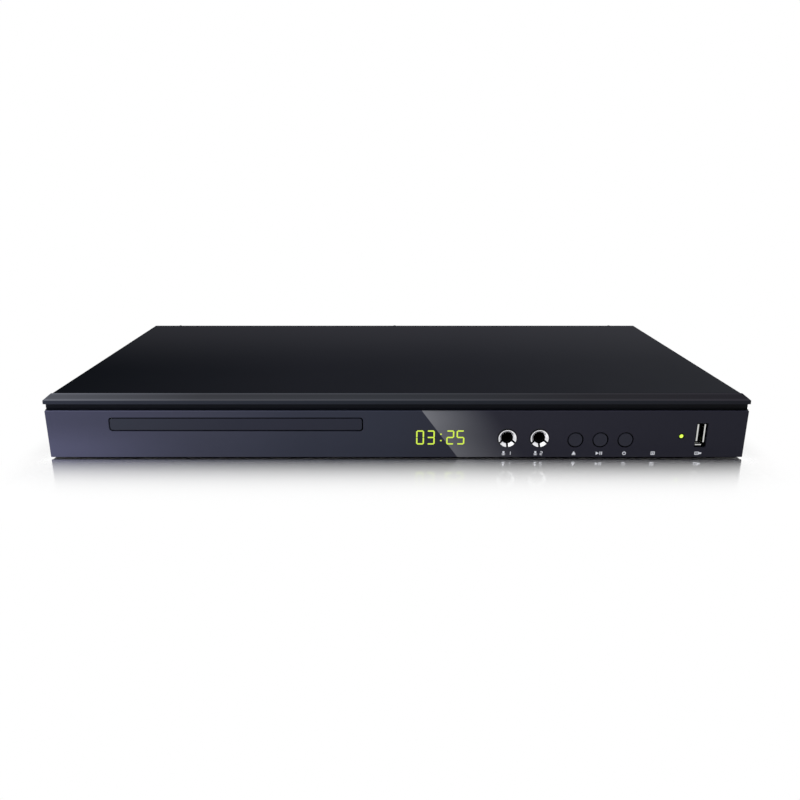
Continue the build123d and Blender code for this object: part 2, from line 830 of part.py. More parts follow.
def hdmi_middle_z():
    return board_top + hdmi_height / 2


def make_hdmi_shell():
    # drawn shell, wide above and tapered below
    def shape(inset):
        wide = hdmi_width / 2 - inset
        tall = hdmi_height / 2 - inset
        return Pos(hdmi_x, hdmi_middle_z()) * outline(
            (-wide, tall), (wide, tall), (wide, -tall * 0.35), (wide - 1.8, -tall), (1.8 - wide, -tall),
            (-wide, -tall * 0.35))
    front = rear_panel_out + 0.3
    shell = along_y(shape(0), front - hdmi_depth, front)
    return [shell - along_y(shape(hdmi_wall), front - hdmi_depth + hdmi_wall, front)]


def make_hdmi_tongue():
    back = rear_panel_out + 0.3 - hdmi_depth + hdmi_wall
    half = hdmi_width / 2 - hdmi_wall
    middle = hdmi_middle_z()
    blade = half - 1.6
    root = half - 0.1
    tongue = block(hdmi_x - blade, hdmi_x + blade, back, rear_panel_out - 1.2, middle - 0.1, middle + 0.9)
    tongue += block(hdmi_x - root, hdmi_x + root, back, back + 2.0, middle - 0.6, middle + 2.0)
    return [tongue]


def make_mains_inlet():
    # figure-of-eight inlet with a flange outside the panel
    lobe = inlet_height / 2
    reach = inlet_width / 2 - lobe
    eight = Pos(-reach, 0) * hole_face(lobe, coarse) + Pos(reach, 0) * hole_face(lobe, coarse)
    eight += Rectangle(2 * reach, 2 * (lobe - inlet_waist))
    face = rear_panel_out + inlet_flange
    floor = face - inlet_depth
    flange = Pos(inlet_x, inlet_z) * Rectangle(inlet_width + 7.6, inlet_height + 7.4)
    body = chamfer(along_y(flange, rear_panel_out, face).edges().filter_by(Axis.Y), 2.0)
    shell = Pos(inlet_x, inlet_z) * Rectangle(inlet_width + 3.4, inlet_height + 3.8)
    body += along_y(shell, floor - inlet_wall, rear_panel_out)
    body -= along_y(Pos(inlet_x, inlet_z) * eight, floor, face)
    # pedestal that carries the inlet on the power board
    body += block(inlet_x - 8.0, inlet_x + 8.0, floor - inlet_wall, rear_panel_in - 1.0,
                  board_top, inlet_z - inlet_height / 2 - 1.9)
    return [body]


def make_inlet_pins():
    face = rear_panel_out + inlet_flange
    floor = face - inlet_depth
    tip = face - inlet_pin_setback
    reach = inlet_pin_pitch / 2
    return [rod_y(inlet_x + side * reach, inlet_z, inlet_pin_r, floor, tip) for side in (-1, 1)]


def gear_y():
    return lens_y + gear_setback


def tray_gear_x():
    return tray_slot_x + rack_offset - gear_module * tray_gear_teeth / 2


def pinion_x():
    return tray_gear_x() - gear_module * (tray_gear_teeth + pinion_teeth) / 2


def motor_place():
    return tray_slot_x + motor_offset, gear_y() - 2.0


def gear_face(teeth, first_space):
    # involute spur gear with the middle of a tooth space at first_space degrees
    slope = math.radians(pressure_angle)
    pitch_r = gear_module * teeth / 2
    base_r = pitch_r * math.cos(slope)
    root_r = pitch_r - 1.25 * gear_module
    half_tooth = math.pi / (2 * teeth) - backlash / (2 * pitch_r) + math.tan(slope) - slope
    flank = [(root_r, half_tooth)]
    for radius in (pitch_r, pitch_r + gear_module):
        roll = math.acos(base_r / radius)
        flank.append((radius, half_tooth - math.tan(roll) + roll))
    points = []
    for tooth in range(teeth):
        middle = math.radians(first_space) + (tooth + 0.5) * 2 * math.pi / teeth
        turns = [(radius, middle - angle) for radius, angle in flank]
        turns += [(radius, middle + angle) for radius, angle in reversed(flank)]
        points += [(radius * math.cos(turn), radius * math.sin(turn)) for radius, turn in turns]
    return outline(*points)


def make_tray_gear():
    # two toothed rims on one hub: the upper one drives the rack, the lower one meets the pinion
    gear = along_z(gear_face(tray_gear_teeth, 0.0), *upper_gear_z)
    gear += along_z(gear_face(tray_gear_teeth, 0.0), *lower_gear_z)
    gear += rod_z(0, 0, 4.4, lower_gear_z[1], upper_gear_z[0])
    gear -= round_z(0, 0, post_r + bore_gap, lower_gear_z[0], upper_gear_z[1])
    return [Pos(tray_gear_x(), gear_y(), 0) * gear]


def pulley_wheel(radius, sides):
    # grooved belt wheel
    low, high = pulley_z
    middle = (low + high) / 2
    groove = belt_size / 2 + belt_gap
    deep = radius - belt_size - belt_gap
    return turned([(radius, low, middle - groove), (deep, middle - groove, middle + groove),
                   (radius, middle + groove, high)], sides)


def make_pulley_gear():
    gear = along_z(gear_face(pinion_teeth, 180.0 / pinion_teeth), pinion_z[0], pulley_z[0])
    gear += pulley_wheel(pulley_r, fine)
    gear -= round_z(0, 0, post_r + bore_gap, pinion_z[0], pulley_z[1])
    return [Pos(pinion_x(), gear_y(), 0) * gear]


def make_motor_pulley():
    x, y = motor_place()
    wheel = pulley_wheel(motor_pulley_r, coarse)
    wheel += round_z(0, 0, motor_shaft_r, loader_deck_top + 1.0, pulley_z[0])
    return [Pos(x, y, 0) * wheel]


def make_loading_motor():
    x, y = motor_place()
    top = pulley_z[0] - 0.5
    motor = rod_z(x, y, motor_r, pan_top + slip, top - 0.8, fine)
    motor += rod_z(x, y, 4.0, top - 0.8, top)
    return [motor - hole_z(x, y, motor_shaft_r + bore_gap, loader_deck_top + 0.7, top, 8)]


def belt_loop(growth):
    # outline round both belt wheels
    x, y = motor_place()
    wheel = Pos(pinion_x(), gear_y()) * hole_face(pulley_r - belt_size + growth, fine)
    small = Pos(x, y) * hole_face(motor_pulley_r - belt_size + growth, coarse)
    return make_hull(wheel.edges() + small.edges())


def make_drive_belt():
    middle = sum(pulley_z) / 2
    low, high = middle - belt_size / 2, middle + belt_size / 2
    return [along_z(belt_loop(belt_size), low, high) - along_z(belt_loop(0.0), low, high)]


def rack_face():
    # straight rack on the right of the tray, its teeth towards the tray's middle
    pitch = math.pi * gear_module
    slope = math.tan(math.radians(pressure_angle))
    line = tray_slot_x + rack_offset
    tip = line - gear_module
    root = line + 1.25 * gear_module
    half = pitch / 4 - backlash / 2
    points = []
    ahead = 2
    teeth = ahead + math.ceil(tray_travel / pitch) + 2
    for tooth in range(-ahead, teeth - ahead + 1):
        y = gear_y() + tooth * pitch
        points += [(root, y - half - 1.25 * gear_module * slope), (tip, y - half + gear_module * slope),
                   (tip, y + half - gear_module * slope), (root, y + half + 1.25 * gear_module * slope)]
    first, last = points[0][1], points[-1][1]
    points += [(root + 4.0, last), (root + 4.0, first)]
    return outline(*points)


def make_disc_tray():
    # shallow moulded drawer with two disc wells, finger scoops and a pickup slot
    middle = tray_slot_x
    half = tray_width / 2
    wall = 1.6
    tray = block(middle - half, middle + half, tray_front, tray_back, tray_plate_z, tray_rim_top)
    tray = chamfer(tray.edges().filter_by(Axis.Z).sort_by(Axis.Y)[2:], 4.0)
    pocket = block(middle - half + wall, middle + half - wall, tray_front + wall, tray_back - wall,
                   tray_plate_z, tray_rim_top - wall)
    pocket -= rod_z(middle, disc_y, disc_well_r + wall, tray_plate_z, tray_rim_top, well_sides)
    scoop_r = 12.0
    scoops = [rod_z(middle + side * disc_well_r, disc_y, scoop_r, small_ledge_z, tray_rim_top)
              for side in (-1, 1)]
    for side in (-1, 1):
        pocket -= hole_z(middle + side * disc_well_r, disc_y, scoop_r + wall, tray_plate_z, tray_rim_top)

    def pickup_slot(growth):
        # round at the turntable, then a straight bay for the pickup
        bay = Pos(middle, disc_y + tray_slot_rear_reach / 2) * vent(
            tray_slot_rear_reach + tray_slot_rear_width + 2 * growth, tray_slot_rear_width + 2 * growth)
        return bay + Pos(middle, disc_y) * hole_face(tray_slot_front_r + growth, middling)

    pocket -= along_z(pickup_slot(wall), tray_plate_z, tray_rim_top)
    tray -= pocket
    tray -= hole_z(middle, disc_y, disc_well_r, disc_ledge_z, tray_rim_top, well_sides)
    tray -= hole_z(middle, disc_y, small_well_r, small_ledge_z, tray_rim_top, well_sides)
    for scoop in scoops:
        tray -= scoop
    tray -= along_z(pickup_slot(0.0), tray_plate_z, tray_rim_top)
    for side in (-1, 1):
        inner, outer = sorted((middle + side * (half - 4.0), middle + side * half))
        tray += block(inner, outer, tray_front + 1.0, tray_back - 6.0, tray_bottom, tray_plate_z)
    tray += along_z(rack_face(), tray_bottom, tray_plate_z)
    return [tray]


def make_tray_door():
    # facing clipped to the front of the tray
    face = RectangleRounded(tray_slot_width - 2 * door_gap, tray_slot_height - 2 * door_gap,
                            tray_slot_corner - door_gap)
    door = along_y(Pos(tray_slot_x, tray_slot_z) * face, lens_y, tray_front)
    return [door]


def frame_ends():
    return plate_back + 1.5, pivot_y + 12.0


def loader_feet():
    front, back = frame_ends()
    reach = loader_width / 2 - 3.4
    return [(tray_slot_x + side * reach, y) for side in (-1, 1) for y in (front + 8.0, back - 8.0)]


def cam_back_y():
    return disc_y - traverse_front - 1.2


def deck_back_y():
    return cam_back_y() - cam_thickness - slip


def make_loader_frame():
    # moulded frame: side walls with tray guides, front deck with gear posts, rear bearings
    middle = tray_slot_x
    front, back = frame_ends()
    inner = tray_width / 2 + slip
    outer = inner + loader_wall
    deck_low = loader_deck_top - deck_thickness
    base_top = loader_base + deck_thickness
    rail_top = tray_bottom - slip
    keeper_low = tray_rim_top + slip
    deck_back = deck_back_y()
    frame = block(middle - inner, middle + inner, front, deck_back, deck_low, loader_deck_top)
    frame += block(middle - inner, middle + inner, pivot_y - 6.0, back, loader_base, base_top)
    frame += block(middle - inner, middle + inner, back - loader_wall, back, loader_base, tray_bottom - 1.5)
    for side in (-1, 1):
        def across(near, far):
            return sorted((middle + side * near, middle + side * far))
        frame += block(*across(inner, outer), front, back, loader_base, bridge_z)
        frame += block(*across(inner - 5.3, inner), front, back, rail_top - 1.6, rail_top)
        frame += block(*across(inner - 14.0, inner), deck_back, pivot_y - 6.0, loader_base, base_top)
        frame += block(*across(outer, loader_width / 2), front, back, loader_base, base_top)
        for y in (front + 6.0, disc_y - 30.0, disc_y + 24.0, pivot_y - 22.0):
            frame += block(*across(inner - 3.6, inner), y, y + 12.0, keeper_low, keeper_low + 1.5)
        # bearing ears for the lifting frame's hinge pins
        near = traverse_width / 2 + 3.0
        ear = block(*across(near, near + 4.0), pivot_y - 4.5, pivot_y + 4.5, base_top, pivot_z + 3.6)
        bearing = sorted((middle + side * near, middle + side * (near + 4.0)))
        frame += ear - hole_x(pivot_y, pivot_z, pivot_r + bore_gap, *bearing)
    x, y = motor_place()
    frame -= hole_z(x, y, motor_r + 0.2, deck_low, loader_deck_top, fine)
    frame += rod_z(tray_gear_x(), gear_y(), post_r, loader_deck_top, upper_gear_z[1])
    frame += rod_z(pinion_x(), gear_y(), post_r, loader_deck_top, pulley_z[1])
    # hooks that keep the cam slider down
    edge = cam_front_edge()
    hook_low = cam_flange_top() + slip
    hook_high = hook_low + 1.5
    hook_back = min(edge + 2.5, deck_back - slip)
    for x in (middle - 33.0, middle + 6.0):
        frame += block(x, x + 6.0, edge - 2.0, edge - slip, loader_deck_top, hook_high)
        frame += block(x, x + 6.0, edge - 2.0, hook_back, hook_low, hook_high)
    return [frame]


def cam_front_edge():
    # the flange stops short of the tray gear's lower rim
    gear_back = gear_y() + gear_module * (tray_gear_teeth / 2 + 1)
    return max(deck_back_y() - cam_flange_depth, gear_back + slip)


def cam_flange_top():
    return loader_deck_top + slip + 1.5


def level_pin_y():
    return disc_y - traverse_front - cam_pin_reach / 2


def lowered_pin_z():
    return pivot_z + (level_pin_y() - pivot_y) * math.sin(tilt) + (cam_pin_z - pivot_z) * math.cos(tilt)


def make_cam_slider():
    # upright bar with two ramps for the lifting frame's pins, and a flange that slides on the deck
    middle = tray_slot_x
    low_x = middle - 28.0
    high_x = middle + cam_pin_offset + cam_travel + 4.0
    back = cam_back_y()
    front = back - cam_thickness
    slider = block(low_x, high_x, front, back, cam_bottom, cam_top)
    slider += block(low_x, high_x, cam_front_edge(), front, loader_deck_top + slip, cam_flange_top())
    rise = cam_pin_z - lowered_pin_z()
    ramp = math.hypot(cam_travel, rise)
    angle = math.degrees(math.atan2(rise, cam_travel))
    for side in (-1, 1):
        x = middle + side * cam_pin_offset + cam_travel / 2
        slot = Pos(x, (cam_pin_z + lowered_pin_z()) / 2) * Rot(0, 0, angle - 90) * vent(
            ramp + 2 * cam_pin_r + 2.4, 2 * cam_pin_r + 0.4)
        slider -= along_y(slot, front, back)
    return [slider]


def make_traverse_frame():
    # stamped and ribbed plate with hinge pins behind and cam pins in front
    middle = tray_slot_x
    half = traverse_width / 2
    front = disc_y - traverse_front
    back = pivot_y + 3.0
    low = traverse_top - traverse_rib
    plate_low = traverse_top - traverse_plate
    left, right = middle - 27.0, middle + 38.0
    bay_front, bay_back = disc_y + 14.5, disc_y + 80.0
    frame = block(middle - half, middle + half, front, back, plate_low, traverse_top)
    frame = chamfer(frame.edges().filter_by(Axis.Z), 4.0)
    frame += block(middle - half + 4, middle + half - 4, front, front + 2.0, low, plate_low)
    for side in (-1, 1):
        edge = sorted((middle + side * half, middle + side * (half - 2.0)))
        frame += block(*edge, front + 4.0, back - 4.0, low, plate_low)
        ear = sorted((middle + side * half, middle + side * (half - 4.0)))
        frame += block(*ear, pivot_y - 4.0, back, pivot_z - 3.0, plate_low)
        pin = sorted((middle + side * (half - 1.0), middle + side * (half + 6.6)))
        frame += round_x(pivot_y, pivot_z, pivot_r, *pin)
        pin_x = middle + side * cam_pin_offset
        frame += rod_y(pin_x, cam_pin_z, cam_pin_r, front - cam_pin_reach, front + 1.0)
    frame -= block(left, right, bay_front, bay_back, plate_low, traverse_top)
    walls = block(left, right, bay_front - 2.0, bay_front, guide_rod_z - 2.8, plate_low)
    walls += block(left, right, bay_back, bay_back + 2.0, guide_rod_z - 2.8, plate_low)
    frame += walls
    screw_x = middle + screw_offset
    motor_back = bay_back + 2.0 + sled_motor_length
    notch = sled_motor_r + 0.5
    frame -= block(screw_x - notch, screw_x + notch, bay_back + 2.0, motor_back + 0.5, low, traverse_top)
    frame -= hole_z(middle, disc_y, 6.0, plate_low, traverse_top)
    for side in (-1, 1):
        x = middle + side * guide_rod_offset
        frame -= hole_y(x, guide_rod_z, guide_rod_r, bay_front - 2.0, bay_back + 2.0, few)
    frame -= hole_y(screw_x, guide_rod_z, screw_r + bore_gap, bay_front - 2.0, bay_back + 2.0, few)
    return [lowered(frame)]


def make_guide_rods():
    middle = tray_slot_x
    front, back = disc_y + 12.5, disc_y + 82.0
    return [lowered(rod_y(middle + side * guide_rod_offset, guide_rod_z, guide_rod_r, front, back))
            for side in (-1, 1)]


def make_spindle_motor():
    middle = tray_slot_x
    top = traverse_top - traverse_plate
    motor = rod_z(middle, disc_y, spindle_motor_r, spindle_motor_low, top, middling)
    motor += rod_z(middle, disc_y, 5.6, top, traverse_top)
    motor -= hole_z(middle, disc_y, spindle_r + bore_gap, spindle_motor_low + 0.7, traverse_top, few)
    return [lowered(motor)]


def make_turntable():
    # platform with a centring cone and the spindle below it
    plate_low = turntable_top - turntable_plate
    table = round_z(0, 0, spindle_r, spindle_motor_low + 1.0, traverse_top + slip)
    table += turned([(5.0, traverse_top + slip, plate_low)], coarse)
    cone_low = turntable_top + 0.7
    cone_high = turntable_top + cone_height
    table += turned([(turntable_r, plate_low, turntable_top), (cone_r, turntable_top, cone_low)], fine)
    table += tapered(cone_r, cone_r - 1.6, cone_low, cone_high, fine)
    table -= hole_z(0, 0, 2.2, cone_low - 0.1, cone_high)
    return [lowered(Pos(tray_slot_x, disc_y, 0) * table)]


def sled_y():
    return disc_y + sled_home


def make_pickup_sled():
    # carriage on two rods, with a nut arm on the screw and a well for the lens
    middle = tray_slot_x
    y = sled_y()
    half = sled_length / 2
    low, high = sled_z
    sled = block(middle - sled_width / 2, middle + sled_width / 2, y - half, y + half, low, high)
    sled = chamfer(sled.edges().filter_by(Axis.Y).sort_by(Axis.Z)[2:], 2.0)
    screw_x = middle + screw_offset
    nut_half = 2.9
    sled += block(middle + sled_width / 2 - 1, screw_x + nut_half, y - half + 2, y + half - 2,
                  low, guide_rod_z + nut_half)
    sled += rod_z(middle, y, 7.6, high, high + 1.4)
    sled -= hole_z(middle, y, lens_r + 2.5, high - 1.6, high + 1.4)
    for side in (-1, 1):
        x = middle + side * guide_rod_offset
        sled -= hole_y(x, guide_rod_z, guide_rod_r + bore_gap, y - half, y + half, few)
    sled -= hole_y(screw_x, guide_rod_z, screw_r + bore_gap, y - half, y + half, few)
    return [lowered(sled)]


def make_pickup_lens():
    # domed lens in its sprung holder
    y = sled_y()
    high = sled_z[1]
    holder = turned([(lens_r + 1.8, high - 1.1, lens_top - 1.2)], coarse)
    holder += tapered(lens_r + 0.6, lens_r, lens_top - 1.2, lens_top - 0.6, coarse)
    holder += tapered(lens_r, lens_r * 0.5, lens_top - 0.6, lens_top, coarse)
    return [lowered(Pos(tray_slot_x, y, 0) * holder)]


def make_sled_screw():
    x = tray_slot_x + screw_offset
    start = disc_y + 13.2
    screw = round_y(x, guide_rod_z, screw_r, start, disc_y + 82.0 - 0.3)
    screw += rod_y(x, guide_rod_z, motor_shaft_r, disc_y + 82.0 - 0.3, disc_y + 86.0, few)
    return [lowered(screw)]


def make_sled_motor():
    x = tray_slot_x + screw_offset
    front = disc_y + 82.0
    motor = rod_y(x, guide_rod_z, sled_motor_r, front, front + sled_motor_length, middling)
    return [lowered(motor - hole_y(x, guide_rod_z, motor_shaft_r + bore_gap, front, front + 4.5, 8))]


def make_clamper_bridge():
    # sheet bridge across the loader with a dished seat for the loose clamping disc
    middle = tray_slot_x
    wide = tray_width / 2 + slip + loader_wall
    half = bridge_width / 2
    top = bridge_z + bridge_sheet
    bridge = block(middle - wide, middle + wide, disc_y - half, disc_y + half, bridge_z, top)
    for side in (-1, 1):
        edge = sorted((disc_y + side * half, disc_y + side * (half - 1.2)))
        bridge += block(middle - wide + 6, middle + wide - 6, *edge, top, top + 3.0)
        x = middle + side * 42.0
        bridge -= along_z(Pos(x, disc_y) * Rot(0, 0, 90) * vent(28.0, 12.0), bridge_z, top)
    bridge -= hole_z(middle, disc_y, puck_r + 0.6, bridge_z, top, middling)
    return [bridge]


def make_clamp_puck():
    # loose disc that hangs in the bridge and is recessed for the turntable's cone
    top = bridge_z + bridge_sheet + slip
    puck = turned([(puck_r, puck_bottom, top), (puck_flange_r, top, top + 1.4)], middling)
    puck -= hole_z(0, 0, cone_r + 0.6, puck_bottom, puck_bottom + 1.7)
    # shallow dimple that seats the upper end of the magnet
    puck -= round_z(0, 0, 2.0, top + 0.8, top + 1.4)
    return [Pos(tray_slot_x, disc_y, 0) * puck]


def numbered(make, places, name):
    return {f"{name}_{number + 1}": make(*place) for number, place in enumerate(places)}


def all_parts():
    parts = {
        "top_cover": make_top_cover(),
        "top_trim": make_top_trim(),
        "front_panel": make_front_panel(),
        "front_lens": make_front_lens(),
        "chassis_pan": make_chassis_pan(),
        "rear_panel": make_rear_panel(),
        "disc_tray": make_disc_tray(),
        "tray_door": make_tray_door(),
        "eject_button": make_button(button_x[0]),
        "play_button": make_button(button_x[1]),
        "power_button": make_button(button_x[2]),
        "key_switches": make_key_switches(),
        "key_board": make_key_board(),
        "status_led": make_status_led(),
        "usb_shell": make_usb_shell(),
        "usb_tongue": make_usb_tongue(),
        "display_module": make_display_module(),
        "display_segments": make_display_segments(),
        "display_board": make_display_board(),
        "mic_board": make_mic_board(),
        "main_board": make_board("main"),
        "power_board": make_board("power"),
        "board_chips": make_board_chips(),
        "board_capacitors": make_board_capacitors(),
        "power_transformer": make_power_transformer(),
        "power_heatsink": make_power_heatsink(),
        "phono_block": make_phono_block(),
        "phono_barrels": make_phono_barrels(),
        "phono_inserts": make_phono_inserts(),
        "hdmi_shell": make_hdmi_shell(),
        "hdmi_tongue": make_hdmi_tongue(),
        "mains_inlet": make_mains_inlet(),
        "inlet_pins": make_inlet_pins(),
        "loader_frame": make_loader_frame(),
        "tray_gear": make_tray_gear(),
        "pulley_gear": make_pulley_gear(),
        "motor_pulley": make_motor_pulley(),
        "loading_motor": make_loading_motor(),
        "drive_belt": make_drive_belt(),
        "cam_slider": make_cam_slider(),
        "traverse_frame": make_traverse_frame(),
        "guide_rods": make_guide_rods(),
        "spindle_motor": make_spindle_motor(),
        "turntable": make_turntable(),
        "pickup_sled": make_pickup_sled(),
        "pickup_lens": make_pickup_lens(),
        "sled_screw": make_sled_screw(),
        "sled_motor": make_sled_motor(),
        "clamper_bridge": make_clamper_bridge(),
        "clamp_puck": make_clamp_puck()}
    parts.update(numbered(make_foot, foot_places(), "foot"))
    parts.update(numbered(make_mic_jack, [(x,) for x in mic_x], "mic_jack"))
    parts.update(numbered(make_mic_nut, [(x,) for x in mic_x], "mic_nut"))
    return parts


os.makedirs("parts", exist_ok=True)
for name, shapes in all_parts().items():
    solids = [solid for shape in shapes for solid in shape.solids()]
    export_step(Compound(solids), f"parts/{name}.step")
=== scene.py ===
import math

import bpy
from mathutils import Matrix, Vector


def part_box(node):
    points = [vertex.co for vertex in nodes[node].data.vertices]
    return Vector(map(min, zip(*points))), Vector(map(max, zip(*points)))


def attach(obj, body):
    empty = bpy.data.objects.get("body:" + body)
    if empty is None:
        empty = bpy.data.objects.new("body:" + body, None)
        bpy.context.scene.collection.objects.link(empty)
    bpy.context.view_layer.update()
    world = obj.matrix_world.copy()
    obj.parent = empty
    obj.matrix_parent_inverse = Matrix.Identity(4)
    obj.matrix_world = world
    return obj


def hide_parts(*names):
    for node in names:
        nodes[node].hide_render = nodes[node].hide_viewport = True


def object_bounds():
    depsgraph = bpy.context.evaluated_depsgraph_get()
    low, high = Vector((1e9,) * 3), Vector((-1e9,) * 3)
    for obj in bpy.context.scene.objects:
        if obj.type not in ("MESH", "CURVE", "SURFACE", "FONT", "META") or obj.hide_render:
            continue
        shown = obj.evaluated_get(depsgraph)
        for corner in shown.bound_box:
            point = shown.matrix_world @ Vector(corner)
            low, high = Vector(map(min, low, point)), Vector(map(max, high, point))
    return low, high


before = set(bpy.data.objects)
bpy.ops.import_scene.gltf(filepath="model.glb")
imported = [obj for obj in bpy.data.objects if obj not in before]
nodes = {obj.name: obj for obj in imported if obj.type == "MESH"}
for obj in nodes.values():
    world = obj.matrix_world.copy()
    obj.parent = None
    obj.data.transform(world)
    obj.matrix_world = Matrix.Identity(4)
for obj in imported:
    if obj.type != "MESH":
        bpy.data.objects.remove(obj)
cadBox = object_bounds()
print("frame loaded:", len(nodes), "nodes")


# selecting and finishing

def mm(*values):
    return Vector(values) * 0.001


def activate(piece):
    bpy.ops.object.select_all(action='DESELECT')
    piece.select_set(True)
    bpy.context.view_layer.objects.active = piece


def editWhere(piece, kind, parts, test):
    # goes to edit mode with only those parts selected (polygons, edges or vertices) that pass the test
    activate(piece)
    bpy.ops.object.mode_set(mode='EDIT')
    bpy.ops.mesh.select_mode(type=kind)
    bpy.ops.mesh.select_all(action='DESELECT')
    bpy.ops.object.mode_set(mode='OBJECT')
    for part in getattr(piece.data, parts):
        part.select = test(part)
    bpy.ops.object.mode_set(mode='EDIT')


def editEdges(piece, test):
    # the test gets an edge's two ends in mm
    points = [piece.matrix_world @ v.co * 1000 for v in piece.data.vertices]
    editWhere(piece, 'EDGE', 'edges', lambda edge: test(*(points[number] for number in edge.vertices)))


def leaveEdit():
    bpy.ops.object.mode_set(mode='OBJECT')


def near(a, b, slack=0.02):
    return abs(a - b) < slack


def settle(piece):
    # place, turn and scale go into the mesh
    activate(piece)
    bpy.ops.object.transform_apply(location=True, rotation=True, scale=True)
    return piece


def addBox(name, low, high):
    low, high = Vector(low), Vector(high)
    bpy.ops.object.select_all(action='DESELECT')
    bpy.ops.mesh.primitive_cube_add(size=1, location=(low + high) * 0.0005)
    piece = bpy.context.object
    piece.name = name
    piece.scale = (high - low) * 0.001
    return settle(piece)


def addRod(name, centre, radius, length, sides=64, axis='Y'):
    turns = {'Y': (math.pi / 2, 0, 0), 'Z': (0, 0, 0)}
    bpy.ops.object.select_all(action='DESELECT')
    bpy.ops.mesh.primitive_cylinder_add(vertices=sides, radius=radius * 0.001, depth=length * 0.001,
                                        location=Vector(centre) * 0.001, rotation=turns[axis])
    piece = bpy.context.object
    piece.name = name
    return settle(piece)


def applyAll(piece):
    activate(piece)
    for modifier in list(piece.modifiers):
        bpy.ops.object.modifier_apply(modifier=modifier.name)


def cutWith(piece, cutter):
    cut = piece.modifiers.new("cut", 'BOOLEAN')
    cut.operation = 'DIFFERENCE'
    cut.solver = 'EXACT'
    cut.object = cutter
    applyAll(piece)
    bpy.data.objects.remove(cutter)
    return piece


def joinAll(pieces, name):
    bpy.ops.object.select_all(action='DESELECT')
    for piece in pieces:
        piece.select_set(True)
    bpy.context.view_layer.objects.active = pieces[0]
    bpy.ops.object.join()
    pieces[0].name = name
    return pieces[0]


def softenEdges(piece, width, segments=2, angle=35):
    bevel = piece.modifiers.new("soften", 'BEVEL')
    bevel.width = width * 0.001
    bevel.segments = segments
    bevel.limit_method = 'ANGLE'
    bevel.angle_limit = math.radians(angle)
    bevel.use_clamp_overlap = True
    applyAll(piece)
    return piece


def softBox(name, low, high, edge, segments=2):
    return softenEdges(addBox(name, low, high), edge, segments)


def copyPiece(piece, name, shift=(0, 0, 0)):
    other = piece.copy()
    other.data = piece.data.copy()
    other.name = name
    bpy.context.scene.collection.objects.link(other)
    other.data.transform(Matrix.Translation(Vector(shift) * 0.001))
    return other


def finishPiece(piece, finish, slotName, stands=(), body="housing", smooth=35):
    settle(piece)
    piece.data.materials.clear()
    piece.data.materials.append(bpy.data.materials[finish])
    bpy.ops.object.shade_smooth_by_angle(angle=math.radians(smooth))
    level = piece.modifiers.new("level", 'WEIGHTED_NORMAL')
    level.keep_sharp = True
    applyAll(piece)
    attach(piece, body)
    if stands:
        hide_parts(*stands)
    return piece


# shader building blocks

def addNode(tree, kind, given, **settings):
    # given says what goes into its inputs: a socket is linked, anything else is set
    node = tree.nodes.new(kind)
    for name, value in settings.items():
        setattr(node, name, value)
    for label, value in given.items():
        if isinstance(value, bpy.types.NodeSocket):
            tree.links.new(value, node.inputs[label])
        else:
            node.inputs[label].default_value = value
    return node


def mathNode(tree, operation, a, b=None, clamp=False):
    given = {0: a} if b is None else {0: a, 1: b}
    return addNode(tree, 'ShaderNodeMath', given, operation=operation, use_clamp=clamp).outputs[0]


def times(tree, a, b):
    return mathNode(tree, 'MULTIPLY', a, b)


def plus(tree, a, b, clamp=False):
    return mathNode(tree, 'ADD', a, b, clamp)


def mixColour(tree, share, first, second):
    given = {number: (*value, 1) if isinstance(value, tuple) else value
             for number, value in ((0, share), (6, first), (7, second))}
    return addNode(tree, 'ShaderNodeMix', given, data_type='RGBA').outputs[2]


def mixShaders(tree, share, first, second):
    return addNode(tree, 'ShaderNodeMixShader', {0: share, 1: first, 2: second}).outputs[0]


def scaleColour(tree, colour, factor):
    return addNode(tree, 'ShaderNodeVectorMath', {0: colour, 'Scale': factor}, operation='SCALE').outputs[0]


def axesOf(tree, place):
    return addNode(tree, 'ShaderNodeSeparateXYZ', {0: place}).outputs


def addNoise(tree, place, scale, **more):
    return addNode(tree, 'ShaderNodeTexNoise', {'Vector': place, 'Scale': scale, **more}).outputs['Fac']


def rampBetween(tree, value, start, end, low=0.0, high=1.0, shape='SMOOTHSTEP'):
    # a share that runs from low to high while value goes from start to end (mm)
    given = {'Value': value, 'From Min': start * 0.001, 'From Max': end * 0.001,
             'To Min': low, 'To Max': high}
    return addNode(tree, 'ShaderNodeMapRange', given, interpolation_type=shape).outputs['Result']


def makeFinishGroup(name, extras, glossShare, pattern):
    # a shared finish; pattern gives the noise that shifts colour and gloss, its strength, and the relief
    group = bpy.data.node_groups.new(name, 'ShaderNodeTree')
    for label, kind, value in (("Vector", 'Vector', (0, 0, 0)), ("Color", 'Color', (0.1, 0.1, 0.1, 1)),
                               *extras, ("Roughness", 'Float', 0.4)):
        socket = group.interface.new_socket(name=label, in_out='INPUT', socket_type='NodeSocket' + kind)
        socket.default_value = value
    for label, kind in (("Color", 'Color'), ("Roughness", 'Float'), ("Height", 'Float')):
        group.interface.new_socket(name=label, in_out='OUTPUT', socket_type='NodeSocket' + kind)
    given = group.nodes.new('NodeGroupInput').outputs
    shift, strength, height = pattern(group, given)
    swing = times(group, mathNode(group, 'SUBTRACT', shift, 0.5), strength)
    colour = scaleColour(group, given['Color'], plus(group, swing, 1.0))
    rough = plus(group, given['Roughness'], times(group, swing, glossShare), clamp=True)
    addNode(group, 'NodeGroupOutput', {'Color': colour, 'Roughness': rough, 'Height': height})
    return group


def grainPattern(group, given):
    # fine grain of moulded plastic or paint, with slow drifts
    relief = addNoise(group, given['Vector'], given['Grain Scale'], Detail=3)
    return addNoise(group, given['Vector'], 28, Detail=5), given['Drift'], relief


